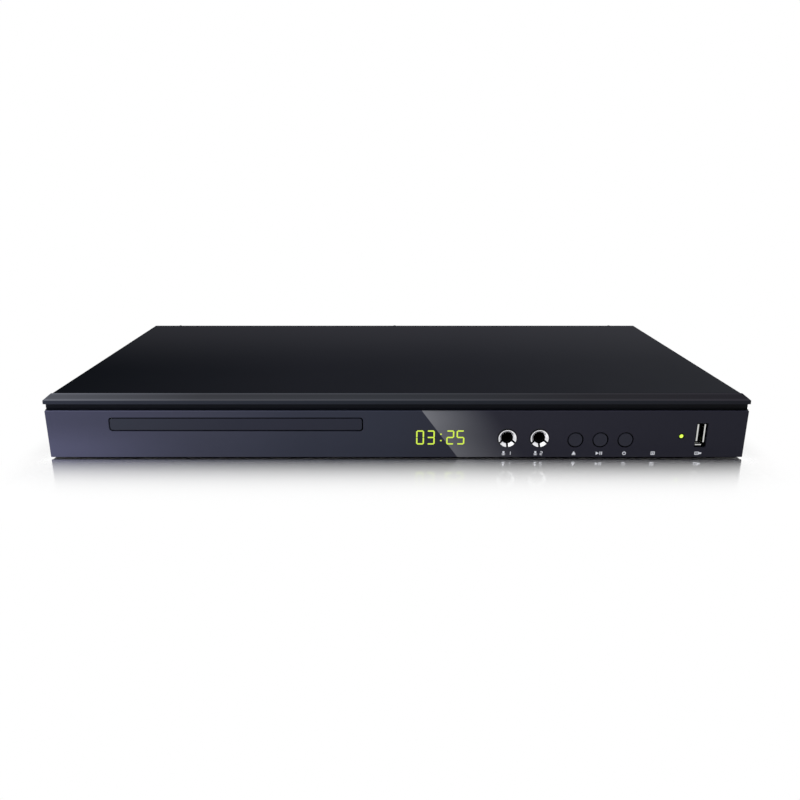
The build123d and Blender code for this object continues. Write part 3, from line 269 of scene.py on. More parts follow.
def scratchPattern(group, given):
    # long fine scratches along one direction
    stretch = addNode(group, 'ShaderNodeVectorMath', {0: given['Vector'], 1: given['Along']},
                      operation='MULTIPLY')
    lines = addNoise(group, stretch.outputs[0], 1, Detail=4, Roughness=0.6)
    return lines, given['Contrast'], lines


mouldedGrain = makeFinishGroup("mouldedGrain", [
    ("Grain Scale", 'Float', 2500.0), ("Drift", 'Float', 0.12)], 0.8, grainPattern)
brushedLines = makeFinishGroup("brushedLines", [
    ("Along", 'Vector', (6, 900, 900)), ("Contrast", 'Float', 0.3)], 0.5, scratchPattern)
reliefDepth = 0.00005


def startMaterial(name, **shader):
    material = bpy.data.materials.new(name)
    material.use_nodes = True
    tree = material.node_tree
    principled = tree.nodes['Principled BSDF']
    for label, value in shader.items():
        principled.inputs[label.replace('_', ' ')].default_value = value
    return tree, principled, addNode(tree, 'ShaderNodeTexCoord', {}).outputs['Object']


def dressMaterial(name, group, settings, bump, **shader):
    # a material whose colour, roughness and relief come from a shared finish
    tree, principled, place = startMaterial(name, **shader)
    finish = addNode(tree, 'ShaderNodeGroup', {'Vector': place, **settings}, node_tree=group)
    relief = addNode(tree, 'ShaderNodeBump', {
        'Strength': bump, 'Distance': reliefDepth, 'Height': finish.outputs['Height']})
    for source, label in ((finish.outputs['Color'], 'Base Color'), (finish.outputs['Roughness'], 'Roughness'),
                          (relief.outputs['Normal'], 'Normal')):
        tree.links.new(source, principled.inputs[label])
    return tree, principled, place, finish


def mouldedMaterial(name, colour, roughness, grain=2500.0, drift=0.12, bump=0.15, shine=0.5, metal=0.0):
    settings = {"Color": (*colour, 1), "Grain Scale": grain, "Drift": drift, "Roughness": roughness}
    dressMaterial(name, mouldedGrain, settings, bump, Specular_IOR_Level=shine, Metallic=metal)


def brushedMaterial(name, colour, roughness, along=(6, 900, 900), contrast=0.3, metal=1.0):
    settings = {"Color": (*colour, 1), "Along": along, "Contrast": contrast, "Roughness": roughness}
    dressMaterial(name, brushedLines, settings, 0.1, Metallic=metal)


def tone(red, green, blue):
    # a screen colour (0 to 255) as the linear values that shaders take
    shares = [value / 255 for value in (red, green, blue)]
    return tuple(s / 12.92 if s <= 0.04045 else ((s + 0.055) / 1.055) ** 2.4 for s in shares)


def scaled(colour, factor):
    return tuple(value * factor for value in colour)


def fadeAlongX(tree, x, stops):
    # colour by X, from stops given as (mm, colour)
    start, end = stops[0][0], stops[-1][0]
    ramp = addNode(tree, 'ShaderNodeValToRGB', {'Fac': rampBetween(tree, x, start, end, shape='LINEAR')})
    elements = ramp.color_ramp.elements
    for number, (where, colour) in enumerate(stops):
        at = (where - start) / (end - start)
        if number == 0:
            element = elements[0]
        elif number == len(stops) - 1:
            element = elements[len(elements) - 1]
        else:
            element = elements.new(at)
        element.position = at
        element.color = (*colour, 1)
    return ramp.outputs['Color']


def paintedLightMaterial(name, stops, roughness, group, settings, bump=0.1, shine=0.0):
    # a shared finish with painted light: its colour is painted lighter at one end of the case and darker at
    # the other
    tree, principled, place, finish = dressMaterial(
        name, group, {"Roughness": roughness, **settings}, bump, Specular_IOR_Level=shine)
    axes = axesOf(tree, place)
    tree.links.new(fadeAlongX(tree, axes['X'], stops), finish.inputs['Color'])
    return tree, principled, axes


def repaint(tree, principled, change):
    # change takes the base colour as it comes in and gives the one that goes on
    base = principled.inputs['Base Color']
    tree.links.new(change(base.links[0].from_socket), base)


def litMaterial(name, colour, strength, baseShare):
    # glowing plastic, a little uneven
    tree, principled, place = startMaterial(
        name, Roughness=0.3, Emission_Strength=strength, Base_Color=(*scaled(colour, baseShare), 1))
    uneven = times(tree, addNoise(tree, place, 900), 0.25)
    tree.links.new(mixColour(tree, uneven, colour, scaled(colour, 0.75)), principled.inputs['Emission Color'])


# the case: the photograph's left is lighter and bluer than its right
# painted light: the stops along X below paint the case lighter and bluer on the left and darker on the right
caseLook = {
    "cover": ((-215, tone(15, 17, 21)), (-60, tone(27, 28, 33)), (60, tone(31, 32, 37)),
              (215, tone(40, 41, 45))),
    # painted reflection: the cover is painted paler towards the rear with this colour
    "coverRear": tone(60, 60, 65),
    "coverRearSheenShare": 0.42,
    "coverRearY": (-60.0, 118.0),
    "strip": ((-215, tone(79, 81, 88)), (-120, tone(55, 56, 61)), (0, tone(49, 51, 56)),
              (120, tone(39, 39, 43)), (215, tone(36, 35, 40))),
    # painted highlights: pale lines along the strip's two long edges
    "stripHighlightLift": 1.55,
    "stripRearHighlight": (-103.9, -103.1),
    "stripFrontHighlight": (-110.6, -111.4, -113.5, -113.9),
    "lip": ((-215, tone(50, 53, 64)), (0, tone(38, 41, 48)), (215, tone(31, 32, 37))),
    "lipEdgeZ": (37.65, 37.9),
    "panel": ((-215, tone(68, 69, 91)), (-120, tone(57, 59, 75)), (-60, tone(46, 49, 63)),
              (0, tone(41, 44, 57)), (62, tone(34, 34, 45)), (215, tone(25, 25, 36))),
    "panelGrain": {"Grain Scale": 900.0, "Drift": 0.05},
    "panelShine": 0.1,
    # painted light: the lower left corner of the front is painted lighter
    "lowCornerLight": 1.5,
    "lowCornerLightX": (-110.0, -215.0),
    "lowCornerLightZ": (26.0, 4.0),
    # painted highlight: a pale line along the front's top rim
    "rimHighlightZ": (30.7, 31.05),
    "rimHighlightLift": 0.7,
    "door": ((-180, tone(49, 52, 64)), (-98, tone(40, 42, 55)), (-20, tone(37, 39, 51))),
    "groove": ((-215, tone(17, 20, 29)), (0, tone(12, 15, 23)), (215, tone(6, 8, 12))),
    # painted reflection: the pale wedge of sheen on the front
    "sheenTop": (15.2, 31.5),
    "sheenFoot": (37.4, 1.5),
    "sheenOnset": (-0.2, 0.2),
    "sheenReach": 44.0,
    "sheenColour": tone(110, 111, 117),
    "sheenFall": 1.4,
    "sheenLow": 0.68,
    "sheenLowZ": (13.0, 29.5),
}


def makeCoverPaintAndLight():
    # dead-flat black lacquer with painted light: painted darker on the left and lighter on the right, and a
    # painted reflection makes it paler towards the rear
    look = caseLook
    tree, principled, axes = paintedLightMaterial(
        "coverPaint", look["cover"], 0.7, mouldedGrain, {"Grain Scale": 3500.0, "Drift": 0.1}, bump=0.12)
    # painted reflection: the share of the paler colour grows towards the rear
    rear = rampBetween(tree, axes['Y'], *look["coverRearY"], high=look["coverRearSheenShare"])
    repaint(tree, principled, lambda paint: mixColour(tree, rear, paint, look["coverRear"]))


makeCoverPaintAndLight()
# painted light: the groove is painted lighter on the left and darker on the right
paintedLightMaterial("grooveFinishAndLight", caseLook["groove"], 0.5, mouldedGrain, {"Grain Scale": 2500.0, "Drift": 0.1},
              shine=0.08)


def makeTrimFinishAndLight():
    # brushed strip on top, and a darker lip below it, both with painted light: lighter on the left, darker on
    # the right
    look = caseLook
    tree, principled, axes = paintedLightMaterial(
        "trimFinish", look["strip"], 0.5, brushedLines, {"Along": (5, 2200, 2200), "Contrast": 0.6},
        bump=0.15)
    # painted highlights: pale lines along the strip's two long edges
    start, full, fullEnd, end = look["stripFrontHighlight"]
    frontHighlight = times(tree, rampBetween(tree, axes['Y'], start, full),
                      rampBetween(tree, axes['Y'], end, fullEnd))
    lines = mathNode(tree, 'MAXIMUM', rampBetween(tree, axes['Y'], *look["stripRearHighlight"]), frontHighlight)
    paintedLift = plus(tree, times(tree, lines, look["stripHighlightLift"] - 1.0), 1.0)
    above = rampBetween(tree, axes['Z'], *look["lipEdgeZ"])
    lipColour = fadeAlongX(tree, axes['X'], look["lip"])
    repaint(tree, principled, lambda paint: mixColour(tree, above, lipColour, scaleColour(tree, paint, paintedLift)))


makeTrimFinishAndLight()


def makePanelSmokeAndLight():
    # smoked acrylic with painted light: a painted reflection, the pale wedge of sheen that starts at a
    # leaning edge, a painted highlight along the top rim, the lower left corner painted lighter, and lighter
    # on the left along the case
    look = caseLook
    tree, principled, axes = paintedLightMaterial(
        "panelSmokeAndLight", look["panel"], 0.22, mouldedGrain, look["panelGrain"], 0.02, look["panelShine"])
    x, z = axes['X'], axes['Z']
    # painted reflection: a wedge of sheen from a leaning edge, fading to the right
    (topX, topZ), (footX, footZ) = look["sheenTop"], look["sheenFoot"]
    lean = (footX - topX) / (topZ - footZ)
    edge = mathNode(tree, 'SUBTRACT', (topX + lean * topZ) * 0.001, times(tree, z, lean))
    beyond = mathNode(tree, 'SUBTRACT', x, edge)
    fading = mathNode(tree, 'POWER', rampBetween(tree, beyond, look["sheenReach"], 0.0, shape='LINEAR'),
                      look["sheenFall"])
    share = times(tree, rampBetween(tree, beyond, *look["sheenOnset"]), fading)
    share = times(tree, share, rampBetween(tree, z, *look["sheenLowZ"], low=look["sheenLow"]))
    # painted light: the lower left corner is painted lighter
    corner = times(tree, rampBetween(tree, x, *look["lowCornerLightX"]), rampBetween(tree, z, *look["lowCornerLightZ"]))
    paintedLift = plus(tree, times(tree, corner, look["lowCornerLight"] - 1.0), 1.0)
    # painted highlight: a pale line along the top rim
    rimHighlight = times(tree, rampBetween(tree, z, *look["rimHighlightZ"]), look["rimHighlightLift"])
    paintedLift = plus(tree, paintedLift, rimHighlight)
    repaint(tree, principled,
            lambda paint: mixColour(tree, share, scaleColour(tree, paint, paintedLift), look["sheenColour"]))


makePanelSmokeAndLight()
# painted light: the tray's facing is painted lighter on the left and darker on the right
paintedLightMaterial("doorSmokeAndLight", caseLook["door"], 0.22, mouldedGrain, caseLook["panelGrain"], 0.02,
              caseLook["panelShine"])

# colour, strength, and how much of the colour the plastic itself has
lights = {
    "digitGlow": (tone(200, 226, 62), 0.98, 0.2),
    "pilotGlow": (tone(205, 246, 70), 1.2, 0.3),
}
for name, look in lights.items():
    litMaterial(name, *look)

# the other finishes: screen colour, roughness, and what differs from the usual
mouldedFinishes = {
    "blackMoulding": ((26, 27, 30), 0.5, {"shine": 0.3}),
    "deepBlack": ((8, 8, 10), 0.7, {"shine": 0.1}),
    "rearPaint": ((30, 30, 33), 0.5, {"grain": 4200.0, "bump": 0.25, "shine": 0.3}),
    "trayPlastic": ((34, 35, 39), 0.42, {"grain": 1800.0, "bump": 0.18, "shine": 0.4}),
    "buttonCap": ((34, 35, 46), 0.45, {"grain": 1600.0, "bump": 0.6, "drift": 0.25, "shine": 0.15}),
    "boardGreen": ((26, 92, 48), 0.35, {"grain": 1200.0, "drift": 0.3}),
    "chipBlack": ((30, 30, 32), 0.6, {"grain": 3000.0}),
    "canSleeve": ((34, 36, 52), 0.35, {}),
    "ferriteGrey": ((70, 68, 66), 0.7, {"grain": 900.0, "drift": 0.3}),
    "gearWhite": ((228, 227, 220), 0.4, {"drift": 0.05}),
    "beltRubber": ((22, 22, 23), 0.75, {"grain": 3000.0, "bump": 0.3}),
    "footRubber": ((28, 28, 29), 0.8, {"grain": 2200.0, "bump": 0.35}),
    "pickupMetal": ((130, 132, 136), 0.45, {"grain": 1500.0, "bump": 0.3, "metal": 0.8}),
    "pickupGlass": ((92, 108, 160), 0.08, {"bump": 0.0}),
    "printGrey": ((212, 214, 222), 0.6, {"drift": 0.05, "shine": 0.1}),
}
brushedFinishes = {
    "zincSheet": ((176, 178, 178), 0.38, {"along": (40, 300, 300), "contrast": 0.18}),
    "bareAluminium": ((190, 191, 193), 0.35, {"along": (900, 900, 10)}),
    "nickelShell": ((205, 205, 203), 0.18, {"along": (900, 60, 900), "contrast": 0.12}),
    "chromeRing": ((240, 240, 243), 0.28, {"along": (900, 900, 900), "contrast": 0.06}),
    "goldContact": ((226, 186, 100), 0.25, {}),
    "motorCan": ((168, 168, 170), 0.32, {"along": (300, 300, 20)}),
    "polishedRod": ((208, 209, 212), 0.16, {"along": (900, 20, 900), "contrast": 0.1}),
    "screwBlack": ((34, 34, 36), 0.35, {"along": (900, 900, 900), "metal": 0.6}),
}
insulatorColours = {
    "Yellow": (226, 186, 40), "White": (225, 225, 220), "Red": (188, 32, 32), "Green": (40, 140, 70),
    "Blue": (40, 80, 170), "Orange": (216, 110, 30),
}
for make, finishes in ((mouldedMaterial, mouldedFinishes), (brushedMaterial, brushedFinishes)):
    for name, (colour, roughness, changes) in finishes.items():
        make(name, tone(*colour), roughness, **changes)
for label, colour in insulatorColours.items():
    mouldedMaterial("insulator" + label, tone(*colour), 0.4, drift=0.05)
print("materials made:", len(bpy.data.materials))


# the front's own sizes, in millimetres, read off the CAD nodes where they have them
def lowHigh(nodeName):
    low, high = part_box(nodeName)
    return Vector(low) * 1000, Vector(high) * 1000


lensLow, lensHigh = lowHigh("front_lens")
doorLow, doorHigh = lowHigh("tray_door")
faceY = lensLow.y


def roundedPlate(name, low, high, corner, segments=10):
    # plate lying across Y whose four corners are rounded
    plate = addBox(name, low, high)
    editEdges(plate, lambda a, b: near(a.x, b.x) and near(a.z, b.z))
    bpy.ops.mesh.bevel(offset=corner * 0.001, segments=segments)
    leaveEdit()
    return plate


def ringProfile(name, centre, radii, sides=72):
    # turned piece about Y, from (radius, depth behind the face) pairs, inside and outside closed
    bpy.ops.object.select_all(action='DESELECT')
    first = radii[0]
    bpy.ops.mesh.primitive_circle_add(vertices=sides, radius=first[0] * 0.001, fill_type='NOTHING',
                                      location=(0, 0, 0), rotation=(math.pi / 2, 0, 0))
    ring = bpy.context.object
    ring.name = name
    settle(ring)
    bpy.ops.object.mode_set(mode='EDIT')
    bpy.ops.mesh.select_mode(type='EDGE')
    bpy.ops.mesh.select_all(action='SELECT')
    bpy.ops.transform.translate(value=(0, first[1] * 0.001, 0))
    at = first
    for radius, depth in radii[1:]:
        bpy.ops.mesh.extrude_region_move(TRANSFORM_OT_translate={"value": (0, (depth - at[1]) * 0.001, 0)})
        share = radius / at[0]
        if not near(share, 1, 0.0001):
            bpy.ops.transform.resize(value=(share, 1, share), center_override=(0, 0, 0))
        at = (radius, depth)
    bpy.ops.mesh.select_all(action='SELECT')
    if near(at[0], first[0], 0.0001) and near(at[1], first[1], 0.0001):
        bpy.ops.mesh.remove_doubles(threshold=0.000002)
    else:
        bpy.ops.mesh.fill_holes(sides=0)
    bpy.ops.mesh.normals_make_consistent(inside=False)
    leaveEdit()
    ring.location = Vector(centre) * 0.001
    return settle(ring)


smokedFront = {
    "lower": 0.65,
    "topDrop": 0.3,
    "edge": 0.45,
    "slotCorner": 2.0,
    "slotLow": (-176.65, 18.0),
    "slotHigh": (-20.55, 26.9),
    "micX": (68.2, 88.0),
    "micZ": 13.6,
    "micHole": 5.3,
    "keyX": (110.4, 125.8, 141.3),
    "keyZ": 12.3,
    "keyHole": 5.0,
    "pilot": (175.6, 14.7),
    "pilotHole": 1.9,
    "portLow": (184.2, 7.4),
    "portHigh": (191.2, 23.2),
}


def makeSmokedFront():
    # the smoked front with the tray's slot and the holes for keys, sockets, lamp and port
    values = smokedFront
    sheet = addBox("smokedFront", lensLow - Vector((0, 0, values["lower"])),
                   lensHigh - Vector((0, 0, values["topDrop"])))
    softenEdges(sheet, values["edge"], segments=3)
    front, back = lensLow.y - 1, lensHigh.y + 1
    (x0, z0), (x1, z1) = values["slotLow"], values["slotHigh"]
    cutWith(sheet, roundedPlate("slotCutter", (x0, front, z0), (x1, back, z1), values["slotCorner"]))
    deep = back - front
    middle = (front + back) / 2
    holes = [(x, values["micZ"], values["micHole"]) for x in values["micX"]]
    holes += [(x, values["keyZ"], values["keyHole"]) for x in values["keyX"]]
    holes.append((*values["pilot"], values["pilotHole"]))
    for x, z, radius in holes:
        cutWith(sheet, addRod("holeCutter", (x, middle, z), radius, deep))
    (x0, z0), (x1, z1) = values["portLow"], values["portHigh"]
    cutWith(sheet, addBox("portCutter", (x0, front, z0), (x1, back, z1)))
    finishPiece(sheet, "panelSmokeAndLight", "smoked_acrylic", ["front_lens"])


makeSmokedFront()

trayFacing = {"corner": 1.5, "edge": 0.3}


def makeTrayFacing():
    # the tray's own facing, a plate with rounded corners
    values = trayFacing
    facing = roundedPlate("trayFacing", doorLow, doorHigh, values["corner"])
    softenEdges(facing, values["edge"], segments=3, angle=50)
    finishPiece(facing, "doorSmokeAndLight", "smoked_acrylic", ["tray_door"], "tray")


makeTrayFacing()

key = {
    "cap": 4.3,
    "edge": 0.35,
    "behindFront": 2.7,
    "flange": 6.2,
    "flangeThick": 1.0,
    "stem": 1.6,
    "dish": 0.25,
    "dishShape": ((0.4, 1.0), (2.2, 0.75), (3.5, 0.3)),
}


def makeKey(node, name):
    # dished cap, flange behind the front and a stem
    values = key
    low, high = lowHigh(node)
    x, z = (low.x + high.x) / 2, (low.z + high.z) / 2
    cap, edge, flange, stem = values["cap"], values["edge"], values["flange"], values["stem"]
    capDeep = lensHigh.y + values["behindFront"] - low.y
    flangeDeep = capDeep + values["flangeThick"]
    piece = ringProfile(name, (x, low.y, z), [
        *((radius, values["dish"] * share) for radius, share in values["dishShape"]),
        (cap - edge, 0.0), (cap - edge * 0.3, edge * 0.3), (cap, edge), (cap, capDeep),
        (flange, capDeep), (flange, flangeDeep), (stem, flangeDeep), (stem, high.y - low.y)])
    finishPiece(piece, "buttonCap", "dark_button", [node], node, smooth=30)


for label in ("eject", "play", "power"):
    makeKey(label + "_button", label + "Key")

nut = {
    "outer": 5.55,
    "mouth": 3.55,
    "rim": 5.1,
    "proud": 1.3,
    "funnel": 1.75,
    "edge": 0.3,
    "slotWidth": 1.25,
    "slots": (210, 270, 330),
    "slotCut": 2.7,
    "sunk": 1.4,
    "gasket": (5.3, 6.0),
}


def makeRingNut(node, name, x):
    # ring nut: narrow rim, funnel down to the bore and spanner slots, on a black gasket
    values = nut
    z = smokedFront["micZ"]
    front = faceY - values["proud"]
    mouth, rim, outer, edge = values["mouth"], values["rim"], values["outer"], values["edge"]
    proud, deep, funnel = values["proud"], values["proud"] + values["sunk"], values["funnel"]
    piece = ringProfile(name, (x, front, z), [
        (mouth, funnel), (mouth + 0.1, funnel * 0.86), (rim - 0.15, 0.2), (rim, 0.06), (rim + 0.12, 0.0),
        (outer - edge * 0.5, 0.02), (outer - edge * 0.15, edge * 0.3), (outer, edge),
        (outer, proud), (rim + 0.15, proud), (rim + 0.15, deep), (mouth, deep), (mouth, funnel)])
    for angle in values["slots"]:
        cutter = addBox("slotCutter", (mouth - 1, -1, -values["slotWidth"] / 2),
                        (outer + 1, values["slotCut"], values["slotWidth"] / 2))
        cutter.rotation_euler = (0, -math.radians(angle), 0)
        cutter.location = mm(x, front, z)
        settle(cutter)
        cutWith(piece, cutter)
    finishPiece(piece, "chromeRing", "chrome_nut", [node], smooth=30)
    bore, wide = values["gasket"]
    gasket = ringProfile(name + "Gasket", (x, faceY - 0.15, z), [
        (bore, 0.0), (wide - 0.1, 0.0), (wide, 0.1), (wide, 0.4), (bore, 0.4), (bore, 0.0)])
    finishPiece(gasket, "deepBlack", "black_plastic")


makeRingNut("mic_nut_1", "micRingOne", smokedFront["micX"][0])
makeRingNut("mic_nut_2", "micRingTwo", smokedFront["micX"][1])

pilot = {
    "radius": 1.22,
    "proud": 0.3,
    # shares of the radius, and depths
    "dome": ((0.5, 0.1), (0.8, 0.3), (1.0, 0.75)),
    "collar": (1.9, 1.4),
    "base": (1.85, 2.6),
}


def makePilot():
    # domed light pipe, its collar and the lamp's body
    x, z = smokedFront["pilot"]
    radius, tip = pilot["radius"], faceY - pilot["proud"]
    base, baseLong = pilot["base"]
    end = lowHigh("status_led")[1].y - tip
    piece = ringProfile("pilotLight", (x, tip, z), [
        (0.15, 0.0), *((radius * share, depth) for share, depth in pilot["dome"]),
        (radius, end - baseLong), (base, end - baseLong), (base, end)], sides=48)
    finishPiece(piece, "pilotGlow", "lamp_lens", ["status_led"], smooth=30)
    bore = radius + 0.02
    collar, deep = pilot["collar"]
    ring = ringProfile("pilotCollar", (x, faceY + 0.05, z), [
        (bore, 0.0), (collar, 0.0), (collar, deep), (bore, deep), (bore, 0.0)])
    finishPiece(ring, "deepBlack", "black_plastic")


makePilot()

usbPort = {
    "low": (184.9, 7.75),
    "high": (190.7, 22.9),
    "sideSetback": 3.2,
    "roofSetback": 6.6,
    "wall": 0.35,
    "lips": ((184.5, 11.6, 1.05), (188.75, 10.9, 0.95)),
    "lipTop": 22.7,
    "lipY": (-0.2, 1.5),
    "spring": ((184.45, 8.9), (188.3, 9.7)),
    "springY": (-0.1, 7.4),
    "springDrop": 2.6,
    "tongue": ((187.0, 10.6), (188.3, 21.4)),
    "tongueSetback": 0.6,
    "floorThick": 0.8,
    "cheekX": (0.05, 0.35),
    "cheekY": (2.6, 9.0),
    "cheekZ": (0.1, 0.4),
    "contacts": 4,
    "contactHalf": 0.45,
    "contactX": (-0.08, 0.2),
    "contactY": (1.2, -2.0),
    "edges": {"shell": 0.1, "lip": 0.22, "spring": 0.2, "tongue": 0.25, "floor": 0.1, "cheek": 0.05,
              "contact": 0.1},
}


def makeUsbPort():
    # drawn shell, its two front lips and the spring below them; tongue, dark floor and cheek; contacts
    values = usbPort
    shellHigh = lowHigh("usb_shell")[1]
    (x0, z0), (x1, z1) = values["low"], values["high"]
    front, roofFront = faceY + values["sideSetback"], faceY + values["roofSetback"]
    shell = addBox("usbShellLips", (x0, front, z0), (x1, shellHigh.y, z1))
    wall, edges = values["wall"], values["edges"]
    hollowEnd, lipFoot = shellHigh.y - wall, values["lips"][0][1]
    cutWith(shell, addBox("hollow", (x0 + wall, front - 1, z0 + wall), (x1 - wall, hollowEnd, z1 - wall)))
    cutWith(shell, addBox("mouth", (x0 + wall, front - 1, z0 - 1), (x1 - wall, roofFront, z1 + 1)))
    cutWith(shell, addBox("foot", (x0 - 1, front - 1, z0 - 1), (x1 + 1, roofFront, lipFoot)))
    pieces = [softenEdges(shell, edges["shell"])]
    y0, y1 = (faceY + y for y in values["lipY"])
    for x, foot, wide in values["lips"]:
        pieces.append(softBox("lip", (x, y0, foot), (x + wide, y1, values["lipTop"]), edges["lip"]))
    (sx0, sz0), (sx1, sz1) = values["spring"]
    y0, y1 = (faceY + y for y in values["springY"])
    spring = addBox("spring", (sx0, y0, sz0), (sx1, y1, sz1))
    editWhere(spring, 'FACE', 'polygons', lambda face: face.normal.y > 0.9)
    bpy.ops.transform.translate(value=(0, 0, -values["springDrop"] * 0.001))
    leaveEdit()
    pieces.append(softenEdges(spring, edges["spring"]))
    finishPiece(joinAll(pieces, "usbShellLips"), "nickelShell", "nickel_shell", ["usb_shell"])
    (tx0, tz0), (tx1, tz1) = values["tongue"]
    tongue = softBox("tongue", (tx0, front + values["tongueSetback"], tz0), (tx1, hollowEnd, tz1),
                     edges["tongue"])
    floor = softBox("floor", (x0 + wall, y1, z0 + wall),
                    (x1 - wall, hollowEnd, z0 + wall + values["floorThick"]), edges["floor"], 1)
    (inner, outer), (start, end), (low, high) = values["cheekX"], values["cheekY"], values["cheekZ"]
    cheek = softBox("cheek", (x1 + inner, faceY + start, z0 + low), (x1 + outer, faceY + end, lipFoot + high),
                    edges["cheek"], 1)
    tongue = joinAll([tongue, floor, cheek], "usbTongueBlade")
    finishPiece(tongue, "deepBlack", "jack_insulator", ["usb_tongue"])
    contacts = []
    pitch = (tz1 - tz0) / values["contacts"]
    half, (left, right), (start, end) = values["contactHalf"], values["contactX"], values["contactY"]
    for number in range(values["contacts"]):
        middle = tz0 + pitch * (number + 0.5)
        contacts.append(softBox("contact", (tx0 + left, front + start, middle - half),
                                (tx0 + right, shellHigh.y + end, middle + half), edges["contact"], 1))
    finishPiece(joinAll(contacts, "usbContacts"), "goldContact", "nickel_shell")


makeUsbPort()

digits = {
    "starts": (12.0, 18.6, 30.6, 36.9),
    "shown": "0325",
    "low": 9.3,
    "wide": 4.9,
    "tall": 9.3,
    "stroke": 0.86,
    "gap": 0.25,
    "colonX": 27.3,
    "colonZ": (11.9, 16.1),
    "dot": 0.55,
    "dotEdge": 0.08,
    "proud": 0.03,
}
# segments of a numeral: top, upper right, lower right, bottom, lower left, upper left, middle
numerals = {
    "0": "1111110", "1": "0110000", "2": "1101101", "3": "1111001", "5": "1011011",
}


def makeStroke(name, length, width, front, back, upright):
    # flat bar with pointed ends, its middle at the origin
    bar = addRod(name, (0, (front + back) / 2, 0), width / 2 / math.cos(math.pi / 6), back - front, sides=6)
    reach = (length - width) / 2
    for side in (-1, 1):
        editWhere(bar, 'VERT', 'vertices', lambda vertex: vertex.co.z * side > 0.00001)
        bpy.ops.transform.translate(value=(0, 0, side * reach * 0.001))
        leaveEdit()
    if not upright:
        bar.rotation_euler = (0, math.pi / 2, 0)
    return settle(bar)


def makeNumeral(text, x, low, wide, tall, stroke, gap, front, back):
    # the lit bars of one seven-bar numeral, x and low being its lower left corner
    upright = makeStroke("upright", (tall - stroke) / 2 - gap, stroke, front, back, True)
    flat = makeStroke("flat", wide - stroke - gap, stroke, front, back, False)
    left, right = x + stroke / 2, x + wide - stroke / 2
    bottom, top = low + stroke / 2, low + tall - stroke / 2
    middle, centre = (bottom + top) / 2, (left + right) / 2
    upper, lower = (middle + top) / 2, (middle + bottom) / 2
    places = ((flat, centre, top), (upright, right, upper), (upright, right, lower), (flat, centre, bottom),
              (upright, left, lower), (upright, left, upper), (flat, centre, middle))
    bars = [copyPiece(bar, "bar", (barX, 0, barZ))
            for lit, (bar, barX, barZ) in zip(numerals[text], places) if lit == "1"]
    for bar in (upright, flat):
        bpy.data.objects.remove(bar)
    return bars


def makeClockDigits():
    # light guides of the lit bars, which end at the smoked front's face
    values = digits
    front, back = faceY - values["proud"], lowHigh("display_segments")[1].y
    bars = []
    for text, x in zip(values["shown"], values["starts"]):
        bars += makeNumeral(text, x, values["low"], values["wide"], values["tall"], values["stroke"],
                            values["gap"], front, back)
    for z in values["colonZ"]:
        dot = addRod("dot", (values["colonX"], (front + back) / 2, z), values["dot"], back - front, sides=24)
        bars.append(softenEdges(dot, values["dotEdge"], segments=1))
    finishPiece(joinAll(bars, "clockDigits"), "digitGlow", "lamp_lens", ["display_segments"])


makeClockDigits()

marks = {
    "middleZ": 3.55,
    "proud": 0.05,
    "sunk": 0.2,
    "edge": 0.03,
    "stroke": 0.42,
    "signX": {"eject": 109.9, "play": 125.5, "power": 141.2, "sensor": 158.95, "port": 187.0},
    "triangleRadius": 1.3,
    # triangles as (right, up, turn) from the sign's middle
    "triangles": {"eject": (0, 0.1, 0), "play": (-1.25, 0, 90)},
    # outlines and bars as (left, foot, right, top) from the sign's middle
    "outlines": {"sensor": (-1.25, -1.1, 1.25, 1.1), "port": (-2.1, -1.0, 0.6, 1.0)},
    "bars": {
        "eject": ((-1.15, -1.2, 1.15, -0.75),),
        "play": ((0.45, -1.05, 1.0, 1.05), (1.5, -1.05, 2.05, 1.05)),
        "power": ((-0.21, 0.1, 0.21, 1.35),),
        "sensor": ((-0.45, -0.4, 0.45, 0.4),),
        "port": ((0.6, -0.55, 2.1, 0.55), (-1.2, -0.2, -0.1, 0.2)),
    },
    "powerRing": 1.15,
    "powerNotch": (-0.45, 0.4, 0.45, 1.4),
    # a microphone's head, yoke, stem and foot, and a plain number
    "micBars": ((-2.5, -0.1, -1.3, 1.35), (-3.05, -0.65, -0.75, -0.3), (-2.12, -1.0, -1.68, -0.5),
                (-2.75, -1.3, -1.05, -0.95)),
    "numberPlace": (0.9, -1.3),
    "numberSize": (1.7, 2.6),
    "numberGap": 0.02,
}


